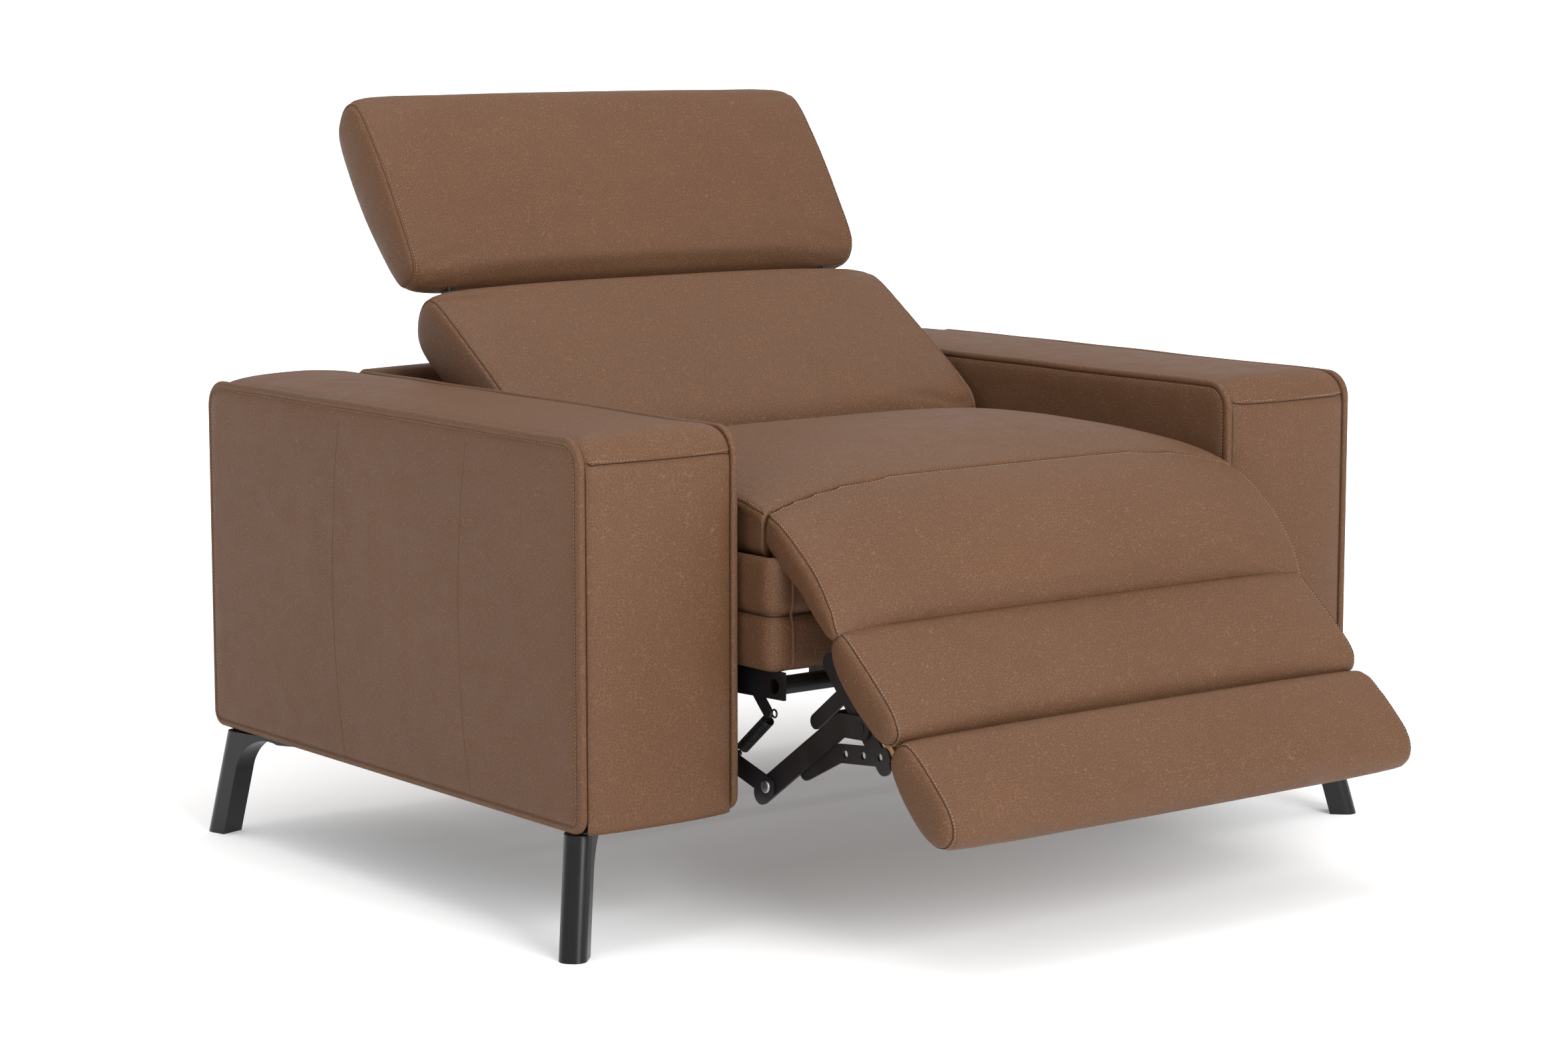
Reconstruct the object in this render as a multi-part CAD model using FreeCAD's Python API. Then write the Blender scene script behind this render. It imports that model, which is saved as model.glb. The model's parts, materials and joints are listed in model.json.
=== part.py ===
import FreeCAD, Part
import os
from math import atan2, cos, degrees, hypot, radians, sin

# Reclining armchair, stored part-reclined: the seat carriage is forward, the footrest is part open,
# the back leans and the headrest is raised. Millimetres, +Z up, -Y is the front of the chair.
# Left and right are as seen from the front, so the left arm is at -X.
# Everything is modelled about the middle of the arms; the origin is on the floor under the middle
# of the open chair, which lies originForward ahead of the arms' middle.

Vector = FreeCAD.Vector

# Overall sizes
overallWidth = 1350.0
armWidth = 245.0
armDepth = 920.0
armTop = 650.0
legHeight = 155.0
originForward = 150.0

# Upholstery thicknesses
cheekThickness = 22.0
bandThickness = 30.0
bandDrop = 2.0            # the wrap-over band lies this far below the cheeks' rim
armCorner = 36.0
frameBoard = 15.0
frameRail = 40.0
dustCloth = 2.0

# Clearances
sideGap = 10.0            # seat box to inner cheek, each side
runningFit = 0.05         # radial, pins in their holes
slideFit = 0.3            # glide blocks in the rails
plateGap = 1.0            # between moving plates side by side
openPivotFit = 1.0        # radial, at the pivot where the footrest linkage is opened

# Legs
legThickness = 36.0
footLength = 38.0
legSplay = 43.0
legReach = 160.0          # length of the leg's top, under the arm
legPlate = 3.0
legPlateInset = (18.0, 20.0)
screwWall = 3.0           # timber between a leg screw and the cheek or band beside it
frontLegTurn = 45.0       # degrees, from straight back towards the chair's middle
backLegTurn = 15.0        # degrees, from straight forward towards the chair's middle
frontFootStep = (10.0, 5.0)   # out past the arm's side, and in from its front
backFootStep = (-4.0, 12.0)   # the same for the back foot, in from the arm's back
screwRadius = 4.0
screwHead = 7.0

# Seat carriage
seatBoxFront = -515.0
seatBoxBottom = 340.0
seatTier = 73.0           # height of each of the three side tiers
seatCrown = 36.0
cushionFront = -499.5
cushionBack = -15.0
boxPanel = 15.0
frontPanel = 18.0
seatRail = 24.0
seatFrameBack = 108.0
frameLift = 10.0          # the timber frame starts this far above the box's bottom edge
springWire = 4.0
springCount = 5

# Steel mechanism
railBottom = 236.0
railHeight = 52.0
railSteel = 3.5
railDepth = 20.0
plateSteel = 4.0
tubeRadius = 12.0
driveTubeRadius = 9.0
tubeWall = 2.0
pinRadius = 6.0
linkWidth = 26.0

# Joint centres, as (y, z)
footrestPivot = (-530.0, 440.0)
crankPivot = (-345.0, 336.0)
crankElbow = (-375.0, 215.0)
pushPivot = (-662.0, 290.0)
pushBend = (-622.0, 288.0)
backPivot = (62.0, 545.0)
backLever = (-45.0, 10.0)
reclineLinkPivot = (-13.0, 190.0)
headrestPivot = (350.0, 762.0)
frontTubeCentre = (-500.0, 320.0)
rearTubeCentre = (50.0, 291.0)
footTubeCentre = (-565.0, 283.0)
crankArm = 45.0
driveX = 90.0             # the footrest motor and its yoke stand this far right of the middle
springFront = (-484.0, 281.0)
springBack = (-405.0, 216.0)
springRadius = 7.4
springThick = 2.4
springPitch = 3.2

# Backrest and headrest
backAngle = 35.0          # degrees above horizontal
backLength = 322.0
backHalf = 36.0
padSideGap = 8.0          # back and headrest pads to the seat box's sides
headrestAngle = 53.5
headrestLength = 326.0
headrestHalf = 32.0
headrestFoot = (362.0, 801.0)

# Footrest pads: corners of the front face, from the seat's edge down to the tip
footSideGap = 13.0
boardInset = 20.0
wedgeTopStep = (-18.0, 12.0)  # the upper board's back, from the hinge
wedgeLowStep = (18.5, -7.5)   # and from the joint below it
hingeReach = 300.0
hingeWidth = 18.0
lugElbow = (-612.0, 250.0)
lugEnd = (-545.0, 216.0)
padThickness = 46.0
boardThickness = 12.0
footTop = (-541.0, 506.0)
footJointA = (-635.5, 405.5)
footJointB = (-745.8, 287.8)
footTip = (-852.0, 199.0)
raisedTurn = 40.0         # degrees the footrest turns up from here, clear of the seat box
boxClearance = 3.0

# Control switch: two buttons in a bezel on the left arm's inner cheek
switchCentre = (-210.0, 600.0)
switchLength = 92.0
switchHeight = 30.0
switchPocketDepth = 14.0
bezelProud = 2.0
buttonRadius = 10.0
buttonTravel = 1.5
buttonGap = 0.5
buttonSpread = 44.0
bezelLip = 4.0            # the bezel's flange reaches this far past the pocket
pocketFit = 0.3

# Linear motors: a bored tube over a rod, with the motor below it
motorTubeRadius = 16.0
rodRadius = 8.0
rodGap = 1.0
motorCase = (56.0, 58.0, 82.0)
gearbox = (44.0, 66.0, 44.0)
reclineX = -90.0          # the recline motor lies this side of the middle
driveTubeFront = -190.0
reclineTubeFront = 200.0
driveMotorBack = 30.0
reclineRodBack = 240.0
driveRodBack = -110.0

# Rear panel and the beam behind the carriage
rearThickness = 55.0
rearRise = 5.0            # the panel stands this far above the arms
rearLift = 25.0           # and this far above the arms' bottom
rearPadding = (10.0, 20.0)  # foam in front of the frame and behind it
rearCap = 15.0
rearRail = 60.0
railEnds = (40.0, 92.0)   # the rails stop this far from the arms' front and back
beamInset = 85.0
beamSection = 26.0
beamDepth = 25.0

# Values that follow from the sizes above
outerFace = overallWidth / 2
innerFace = outerFace - armWidth
boxHalfWidth = innerFace - sideGap
armHalfDepth = armDepth / 2
frontFoot = (outerFace + frontFootStep[0], -armHalfDepth + frontFootStep[1])
backFoot = (outerFace + backFootStep[0], armHalfDepth - backFootStep[1])
padHalfWidth = boxHalfWidth - padSideGap
footHalfWidth = boxHalfWidth - footSideGap
beamFront = armHalfDepth - beamInset
wedgeTop = (footrestPivot[0] + wedgeTopStep[0], footrestPivot[1] + wedgeTopStep[1])
wedgeLow = (footJointA[0] + wedgeLowStep[0], footJointA[1] + wedgeLowStep[1])
bandTop = armTop - bandDrop
seatTop = seatBoxBottom + 3 * seatTier - 2
cushionBottom = seatBoxBottom + 2 * seatTier
railWeb = innerFace - railSteel
blockOuter = railWeb - slideFit
sidePlateOuter = boxHalfWidth - boxPanel
sidePlateInner = sidePlateOuter - plateSteel
crankLinkOuter = sidePlateInner - plateGap
pushLinkOuter = crankLinkOuter - plateSteel - plateGap
footArmOuter = pushLinkOuter - plateSteel - plateGap
backPlateOuter = sidePlateInner - seatRail - plateGap
backBracketOuter = backPlateOuter - plateSteel - plateGap
reclineLinkOuter = backBracketOuter - plateSteel - plateGap
pushJoint = (crankPivot[0] + pushPivot[0] - footrestPivot[0],
             crankPivot[1] + pushPivot[1] - footrestPivot[1])
made = {}


def block(xFrom, xTo, yFrom, yTo, zFrom, zTo):
    size = (xTo - xFrom, yTo - yFrom, zTo - zFrom)
    return Part.makeBox(*size, Vector(xFrom, yFrom, zFrom))


def prism(outline, xFrom, xTo):
    """An outline of (y, z) corners, carried along X."""
    corners = [Vector(xFrom, y, z) for y, z in outline]
    face = Part.Face(Part.makePolygon(corners + corners[:1]))
    return face.extrude(Vector(xTo - xFrom, 0, 0))


def cylinder(centre, radius, xFrom, xTo):
    """A cylinder along X about (y, z)."""
    return Part.makeCylinder(radius, xTo - xFrom, Vector(xFrom, *centre), Vector(1, 0, 0))


def tube(centre, radius, wall, xFrom, xTo):
    return cylinder(centre, radius, xFrom, xTo).cut(cylinder(centre, radius - wall, xFrom, xTo))


def along(start, end, share):
    return (start[0] + (end[0] - start[0]) * share, start[1] + (end[1] - start[1]) * share)


def shifted(point, step):
    return (point[0] + step[0], point[1] + step[1])


def strip(start, end, front, back):
    """Corners of a strip beside the line from start to end: front and back are offsets across it."""
    length = hypot(end[0] - start[0], end[1] - start[1])
    across = ((end[1] - start[1]) / length, -(end[0] - start[0]) / length)
    sides = [(start, front), (end, front), (end, back), (start, back)]
    return [shifted(point, (across[0] * far, across[1] * far)) for point, far in sides]


def bar(points, width, xFrom, xTo):
    """A flat bar through the points, with round ends and corners."""
    pieces = [cylinder(point, width / 2, xFrom, xTo) for point in points]
    for start, end in zip(points, points[1:]):
        pieces.append(prism(strip(start, end, width / 2, -width / 2), xFrom, xTo))
    return pieces[0].multiFuse(pieces[1:]).removeSplitter()


def drilled(shape, centres, radius, xFrom, xTo):
    for centre in centres:
        shape = shape.cut(cylinder(centre, radius, xFrom, xTo))
    return shape


def rounded(shape, radius, chosen):
    edges = [edge for edge in shape.Edges if chosen(edge)]
    return shape.makeFillet(radius, edges)


def runsAlong(edge, axis):
    """True for a straight edge parallel to axis."""
    if not isinstance(edge.Curve, Part.Line):
        return False
    return abs(edge.Curve.Direction.dot(axis)) > 0.999


def softened(shape, radius):
    return rounded(shape, radius, lambda edge: runsAlong(edge, Vector(1, 0, 0)))


def mirrored(shape):
    return shape.mirror(Vector(0, 0, 0), Vector(1, 0, 0))


def bothSides(shape):
    return [shape, mirrored(shape)]


def keep(name, *shapes):
    """Moves a finished node to the chair's origin, writes it and reports it."""
    solids = [solid for shape in shapes for solid in shape.Solids]
    whole = solids[0].copy() if len(solids) == 1 else Part.makeCompound(solids)
    whole.translate(Vector(0, originForward, 0))
    if not whole.isValid():
        raise ValueError(name + " is not a valid shape")
    made[name] = whole
    whole.exportStep("parts/" + name + ".step")


def placed(name):
    """A node that is already kept, back in its place about the arms' middle."""
    return made[name].translated(Vector(0, -originForward, 0))


def armParts():
    """The right arm's pieces: timber frame, two cheeks and the band over front, top and back."""
    bottom = legHeight + dustCloth
    cheekInner = outerFace - cheekThickness
    innerCheek = innerFace + cheekThickness
    yEdge = armHalfDepth

    def cheek(xFrom, xTo):
        slab = block(xFrom, xTo, -yEdge, yEdge, legHeight, armTop)
        return softened(slab, armCorner / 2)

    top = block(innerCheek, cheekInner, -yEdge, yEdge, bandTop - bandThickness, bandTop)
    top = rounded(top, armCorner / 2, lambda edge: runsAlong(edge, Vector(1, 0, 0))
                  and edge.CenterOfMass.z > bandTop - 1)
    bandBottom = bandTop - bandThickness
    front = block(innerCheek, cheekInner, -yEdge, -yEdge + bandThickness, bottom, bandBottom)
    back = block(innerCheek, cheekInner, yEdge - bandThickness, yEdge, bottom, bandBottom)

    reach = yEdge - bandThickness
    board = block(innerCheek, innerCheek + frameBoard, -reach, reach, bottom, bandBottom)
    window = block(innerCheek, innerCheek + frameBoard, -reach + 4 * frameRail, reach - 4 * frameRail,
                   bottom + 4 * frameRail, bandBottom - 2 * frameRail)
    board = board.cut(window)
    boards = [board, board.translated(Vector(cheekInner - frameBoard - innerCheek, 0, 0))]
    inside = (innerCheek + frameBoard, cheekInner - frameBoard)
    rails = [
        block(*inside, -reach, -reach + frameRail, bottom, bandBottom),
        block(*inside, reach - frameRail, reach, bottom, bandBottom),
        block(*inside, -reach + frameRail, reach - frameRail, bottom, bottom + frameRail),
        block(*inside, -reach + frameRail, reach - frameRail, bandBottom - frameRail, bandBottom),
    ]
    # An opening in the top rail lets the foam be pulled down and tacked.
    rails[3] = rails[3].cut(block(*inside, -reach / 2, reach / 2, bandBottom - frameRail, bandBottom))
    frame = boards[0].multiFuse([boards[1]] + rails).removeSplitter()
    cloth = block(innerCheek, cheekInner, -yEdge, yEdge, legHeight, bottom)
    return frame, cheek(cheekInner, outerFace), cheek(innerFace, innerCheek), [top, front, back], cloth


def legPlan(foot, turn):
    """Foot centre and the level direction from it under the arm, as seen from above, at the right."""
    side = -1 if foot[1] > 0 else 1
    return foot, (-sin(radians(turn)), side * cos(radians(turn)))


def placedLeg(shape, plan):
    """Takes a shape drawn with X inward from the foot's outer edge to its place under the arm."""
    foot, inward = plan
    leg = shape.copy()
    leg.rotate(Vector(0, 0, 0), Vector(0, 0, 1), degrees(atan2(inward[1], inward[0])))
    back = footLength / 2
    leg.translate(Vector(foot[0] - inward[0] * back, foot[1] - inward[1] * back, 0))
    return leg


def legBlade():
    """A boomerang blade: a sloping foot that bends into a long level top."""
    top = legHeight - legPlate
    kneeLow = Vector(footLength + legSplay * 0.62, 0, top * 0.62)
    kneeHigh = Vector(legSplay + legReach * 0.66, 0, top - 9)
    kneeMid = Vector(footLength + legSplay * 1.15, 0, top * 0.865)
    end = legSplay + legReach
    lines = [Vector(footLength, 0, 0), Vector(0, 0, 0), Vector(legSplay, 0, top),
             Vector(end, 0, top), Vector(end, 0, top - 6), kneeHigh]
    edges = [Part.LineSegment(a, b).toShape() for a, b in zip(lines, lines[1:])]
    edges.append(Part.Arc(kneeHigh, kneeMid, kneeLow).toShape())
    edges.append(Part.LineSegment(kneeLow, lines[0]).toShape())
    blade = Part.Face(Part.Wire(edges)).extrude(Vector(0, legThickness, 0))
    blade.translate(Vector(0, -legThickness / 2, 0))
    slope = Vector(legSplay, 0, top).normalize()
    return rounded(blade, legThickness * 0.42, lambda edge: runsAlong(edge, slope)
                   and edge.CenterOfMass.x < legSplay / 2 + 1)


def legFixings(frame, cloth):
    """Plates and screws for one side's two legs; the frame and the dust cloth are drilled to match."""
    xEdge = outerFace - legPlateInset[0]
    yEdge = armHalfDepth - legPlateInset[1]
    # Each screw is measured from the arm's outer corner, clear of the leg below it.
    nearSide = cheekThickness + screwRadius + screwWall
    nearEnd = bandThickness + screwRadius + screwWall
    frontSpots = [(113.0, nearEnd), (66.0, nearEnd), (nearSide, 135.0), (nearSide, 88.0)]
    backSpots = [(100.0, nearEnd), (60.0, nearEnd), (100.0, 170.0), (90.0, 128.0)]
    plates = []
    screws = []
    for side, spots in ((-1, frontSpots), (1, backSpots)):
        width = max(x for x, y in spots) + 12 - legPlateInset[0]
        depth = max(y for x, y in spots) + 12 - legPlateInset[1]
        near, far = sorted((side * yEdge, side * (yEdge - depth)))
        plate = block(xEdge - width, xEdge, near, far, legHeight - legPlate, legHeight)
        for x, y in spots:
            base = Vector(outerFace - x, side * (armHalfDepth - y), legHeight - legPlate)
            shank = Part.makeCylinder(screwRadius, 32, base)
            head = Part.makeCylinder(screwHead, 3, base - Vector(0, 0, 3))
            screws.append(shank.fuse(head))
            plate = plate.cut(shank)
        plates.append(plate)
    for screw in screws:
        frame = frame.cut(screw)
        cloth = cloth.cut(screw)
    return frame, cloth, plates, screws


def makeArmsAndLegs():
    frame, outer, inner, band, cloth = armParts()
    frame, cloth, plates, screws = legFixings(frame, cloth)
    keep("right_arm_frame", frame)
    keep("right_arm_outer_cheek", outer)
    keep("right_arm_inner_cheek", inner)
    keep("right_arm_band", *band)
    keep("left_arm_frame", mirrored(frame))
    keep("left_arm_outer_cheek", mirrored(outer))
    switch = switchPocket()
    keep("left_arm_inner_cheek", mirrored(inner).cut(switch))
    keep("left_arm_band", *[mirrored(piece) for piece in band])
    keep("arm_dust_cloths", *bothSides(cloth))
    blade = legBlade()
    for name, foot, turn in (("front", frontFoot, frontLegTurn), ("back", backFoot, backLegTurn)):
        leg = placedLeg(blade, legPlan(foot, turn))
        keep("right_" + name + "_leg", leg)
        keep("left_" + name + "_leg", mirrored(leg))
    keep("leg_plates", *plates, *[mirrored(plate) for plate in plates])
    keep("leg_screws", *screws, *[mirrored(screw) for screw in screws])


def switchBox(length, height, xFrom, xTo):
    y, z = switchCentre
    return block(xFrom, xTo, y - length / 2, y + length / 2, z - height / 2, z + height / 2)


def switchPocket():
    length = switchLength - 2 * bezelLip
    height = switchHeight - 1.5 * bezelLip
    return switchBox(length, height, -innerFace - switchPocketDepth, -innerFace)


def makeSwitch():
    face = -innerFace
    flange = switchBox(switchLength, switchHeight, face, face + bezelProud)
    flange = rounded(flange, switchHeight / 2 - 1, lambda edge: runsAlong(edge, Vector(1, 0, 0)))
    cup = switchBox(switchLength - 2 * (bezelLip + pocketFit), switchHeight - 1.5 * bezelLip - 2 * pocketFit,
                    face - switchPocketDepth + 1, face)
    bezel = flange.fuse(cup)
    for name, step in (("footrest_button", -buttonSpread / 2), ("recline_button", buttonSpread / 2)):
        centre = shifted(switchCentre, (step, 0))
        bore = cylinder(centre, buttonRadius + buttonGap, face - switchPocketDepth + 4, face + bezelProud)
        bezel = bezel.cut(bore)
        button = cylinder(centre, buttonRadius, face - switchPocketDepth + 4 + buttonTravel + buttonGap,
                          face + bezelProud + 1.5)
        keep(name, rounded(button, 1.0, lambda edge: edge.CenterOfMass.x > face + bezelProud + 1))
    keep("switch_bezel", bezel.removeSplitter())


def makeRearPanel():
    """The fixed panel between the arms, behind the back: a timber frame in a padded cover."""
    top = armTop + rearRise
    half = innerFace
    back = armHalfDepth
    front = back - rearThickness
    frameFront = front + rearPadding[0]
    frameBack = back - rearPadding[1]
    frameTop = top - rearCap
    bottom = legHeight + rearLift
    frame = block(-half, half, frameFront, frameBack, bottom, frameTop)
    window = block(-half + rearRail, half - rearRail, frameFront, frameBack,
                   bottom + rearRail, frameTop - rearRail)
    keep("rear_frame", frame.cut(window))
    cap = block(-half, half, front, back, frameTop, top)
    cap = rounded(cap, 12.0, lambda edge: edge.CenterOfMass.z > top - 1)
    skins = [block(-half, half, front, frameFront, bottom, frameTop),
             block(-half, half, frameBack, back, bottom, frameTop)]
    keep("rear_panel", cap, *skins)


def makeBaseSteel():
    """Rails bolted to the arms, the rear beam between them and the recline motor on the beam."""
    top = railBottom + railHeight
    railFront = -armHalfDepth + railEnds[0]
    railBack = armHalfDepth - railEnds[1]
    outline = block(innerFace - railDepth, innerFace, railFront, railBack, railBottom, top)
    hollow = block(innerFace - railDepth, railWeb, railFront, railBack,
                   railBottom + railSteel, top - railSteel)
    rail = outline.cut(hollow)
    y, z = reclineLinkPivot
    earOuter = reclineLinkOuter + plateGap + plateSteel
    strap = block(earOuter - plateSteel, innerFace, y - 27, y + 27, railBottom - plateSteel, railBottom)
    ear = block(earOuter - plateSteel, earOuter, y - 20, y + 20, z - 12, railBottom)
    pin = cylinder(reclineLinkPivot, pinRadius, reclineLinkOuter - plateSteel - 2, earOuter)
    boltSpots = [(at, railBottom + railHeight / 2) for at in (railFront + 50, -60.0, railBack - 50)]
    rail = rail.multiFuse([strap, ear, pin]).removeSplitter()
    bolts = []
    for spot in boltSpots:
        shank = cylinder(spot, screwRadius, railWeb - 0.1, innerFace + cheekThickness + frameBoard)
        head = cylinder(spot, screwRadius * 1.9, railWeb - 3, railWeb)
        bolts.append(shank.fuse(head))
    rail = drilled(rail, boltSpots, screwRadius, railWeb - 1, innerFace)
    keep("right_base_rail", rail)
    keep("left_base_rail", mirrored(rail))
    for side, flip in (("right", False), ("left", True)):
        for node in (side + "_arm_inner_cheek", side + "_arm_frame"):
            shape = placed(node)
            for bolt in bolts:
                shape = shape.cut(mirrored(bolt) if flip else bolt)
            keep(node, shape)
    keep("rail_bolts", *bolts, *[mirrored(bolt) for bolt in bolts])

    beamBack = beamFront + beamDepth
    beam = block(-innerFace, innerFace, beamFront, beamBack, top + 10 - beamSection, top + 10)
    beam = beam.cut(block(-innerFace, innerFace, beamFront + tubeWall, beamBack - tubeWall,
                          top + 10 - beamSection + tubeWall, top + 10 - tubeWall))
    keep("rear_beam", beam)
    makeMotor("recline_motor", reclineX, reclineTubeFront, beamFront, beamFront)
    makeRod("recline_rod", reclineX, rearTubeCentre[0], reclineRodBack)


def lengthwise(radius, x, z, yFrom, yTo):
    return Part.makeCylinder(radius, yTo - yFrom, Vector(x, yFrom, z), Vector(0, 1, 0))


def makeMotor(name, x, yFront, yBack, motorBack):
    """A linear motor: a bored tube for the rod, closed at the back, with the motor below it."""
    z = rearTubeCentre[1]
    body = lengthwise(motorTubeRadius, x, z, yFront, yBack)
    width, depth, height = motorCase
    case = block(x - width / 2, x + width / 2, motorBack - 4 - depth, motorBack - 4, z - 6 - height, z - 6)
    case = rounded(case, 8.0, lambda edge: runsAlong(edge, Vector(0, 0, 1)))
    width, depth, height = gearbox
    gears = block(x - width / 2, x + width / 2, motorBack - depth, motorBack, z + 20 - height, z + 20)
    whole = body.multiFuse([case, gears])
    bore = lengthwise(rodRadius + rodGap, x, z, yFront, yBack - 6)
    keep(name, whole.cut(bore).removeSplitter())


def makeRod(name, x, yFront, yBack):
    z = rearTubeCentre[1]
    rod = lengthwise(rodRadius, x, z, yFront, yBack)
    keep(name, rod.cut(cylinder(rearTubeCentre, tubeRadius, -innerFace, innerFace)))


def makeSeat():
    """The seat carriage's timber frame, springs, upholstered box and cushion."""
    outer = boxHalfWidth - boxPanel
    railOuter = sidePlateInner
    inner = railOuter - seatRail
    low = seatBoxBottom + frameLift
    high = cushionBottom - 8
    front = seatBoxFront + frontPanel
    frontRail = front + 27
    rails = [
        block(inner, railOuter, front, seatFrameBack, low, high),
        block(-railOuter, -inner, front, seatFrameBack, low, high),
        block(-inner, inner, front, frontRail, low, high),
        block(-inner, inner, seatFrameBack - 28, seatFrameBack, low, high),
    ]
    keep("seat_frame", *rails)

    springs = [zigzagSpring(frontRail, seatFrameBack - 28, high - 12)]
    step = (2 * inner - 160) / (springCount - 1)
    first = -(springCount - 1) / 2 * step
    keep("seat_springs", *[springs[0].translated(Vector(first + step * k, 0, 0))
                           for k in range(springCount)])

    panel = block(outer, boxHalfWidth, front, seatFrameBack, seatBoxBottom, cushionBottom)
    panel = softened(panel, 5.0)
    keep("seat_box_right_panel", panel)
    keep("seat_box_left_panel", mirrored(panel))
    face = block(-boxHalfWidth, boxHalfWidth, seatBoxFront, front, seatBoxBottom, cushionBottom)
    face = rounded(face, 16.0, lambda edge: runsAlong(edge, Vector(0, 0, 1))
                   and edge.CenterOfMass.y < seatBoxFront + 1)
    keep("seat_box_front_panel", face)

    # The cushion's top is an arc across the chair; its front and back edges are rounded.
    half = boxHalfWidth - 2
    base = [Vector(-half, cushionFront, seatTop), Vector(-half, cushionFront, cushionBottom),
            Vector(half, cushionFront, cushionBottom), Vector(half, cushionFront, seatTop)]
    edges = [Part.LineSegment(a, b).toShape() for a, b in zip(base, base[1:])]
    crown = Part.Arc(base[3], Vector(0, cushionFront, seatTop + seatCrown), base[0])
    edges.append(crown.toShape())
    cushion = Part.Face(Part.Wire(edges)).extrude(Vector(0, cushionBack - cushionFront, 0))
    keep("seat_cushion", cushion)


def zigzagSpring(yFrom, yTo, z):
    """One flat zigzag spring between the front and back rails."""
    turns = 12
    reach = 24.0
    pitch = (yTo - yFrom - springWire) / turns
    pieces = []
    for turn in range(turns + 1):
        y = yFrom + turn * pitch
        pieces.append(block(-reach, reach, y, y + springWire, z, z + springWire))
        if turn < turns:
            side = reach - springWire if turn % 2 else -reach
            pieces.append(block(side, side + springWire, y, y + pitch + springWire, z, z + springWire))
    return pieces[0].multiFuse(pieces[1:]).removeSplitter()


def makeCarriageSteel():
    """Side plates, glide blocks, cross tubes and pivots that ride with the seat."""
    low = railBottom + plateSteel
    top = seatBoxBottom + frameLift + 45
    step = seatBoxFront + frontPanel
    nose = frontTubeCentre[0] - 20
    outline = [(step, top), (step, seatBoxBottom), (nose, seatBoxBottom), (nose, frontTubeCentre[1] - 16),
               (crankPivot[0] - 70, crankPivot[1] - 36), (crankPivot[0] + 50, low),
               (200.0, low), (230.0, seatBoxBottom), (seatFrameBack, top)]
    plate = prism(outline, sidePlateInner, sidePlateOuter)
    lug = shifted(springFront, (0.0, 4.0))
    tab = bar([shifted(springFront, (26.0, 30.0)), lug], 16.0, sidePlateInner, sidePlateOuter)
    plate = plate.fuse(tab)
    holes = [(y, low + 26) for y in (-260.0, -160.0, -60.0, 40.0, 140.0)]
    plate = drilled(plate, holes[:3] + holes[4:], 9.0, sidePlateInner, sidePlateOuter)
    bolts = [(y, seatBoxBottom + frameLift + 22) for y in (-450.0, -300.0, -150.0, 0.0)]
    plate = drilled(plate, bolts, screwRadius, sidePlateInner, sidePlateOuter)
    plate = drilled(plate, [crankPivot], driveTubeRadius + runningFit, sidePlateInner, sidePlateOuter)
    plate = drilled(plate, [frontTubeCentre, rearTubeCentre], tubeRadius, sidePlateInner, sidePlateOuter)
    keep("right_side_plate", plate.removeSplitter())
    keep("left_side_plate", mirrored(plate.removeSplitter()))

    blockLow = railBottom + railSteel + slideFit
    blockHigh = railBottom + railHeight - railSteel - slideFit
    blocks = []
    for y in (-240.0, 150.0):
        slider = block(sidePlateOuter, blockOuter - 4, y - 35, y + 35, blockLow, blockHigh)
        blocks += bothSides(slider)
    keep("glide_blocks", *blocks)
    keep("cross_tubes", *[tube(centre, tubeRadius, tubeWall, -sidePlateOuter, sidePlateOuter)
                          for centre in (frontTubeCentre, rearTubeCentre)])
    tubeBack = rearTubeCentre[0] - tubeRadius
    makeMotor("footrest_motor", driveX, driveTubeFront, tubeBack, driveMotorBack)

    # Plates on the seat frame that carry the back, each with its pin.
    foot = shifted(backPivot, (-8.0, -100.0))
    carrier = bar([backPivot, foot], 36.0, backPlateOuter - plateSteel, backPlateOuter)
    spacer = block(backPlateOuter, backPlateOuter + plateGap, foot[0] - 16, foot[0] + 16,
                   foot[1] - 16, foot[1] + 20)
    pin = cylinder(backPivot, pinRadius, backBracketOuter - plateSteel - 1.0, backPlateOuter)
    keep("back_carriers", *bothSides(carrier.multiFuse([spacer, pin]).removeSplitter()))

    ears = []
    for x in (-hingeReach, hingeReach):
        for side in (-1, 1):
            at = x + side * 12
            ear = bar([footrestPivot, shifted(footrestPivot, (15 - 5, 0))], 20.0, at - 2, at + 2)
            ear = ear.cut(block(at - 3, at + 3, seatBoxFront, 0, 400, 520))
            ears.append(drilled(ear, [footrestPivot], pinRadius + runningFit, at - 3, at + 3))
    keep("footrest_hinge_ears", *ears)


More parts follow.
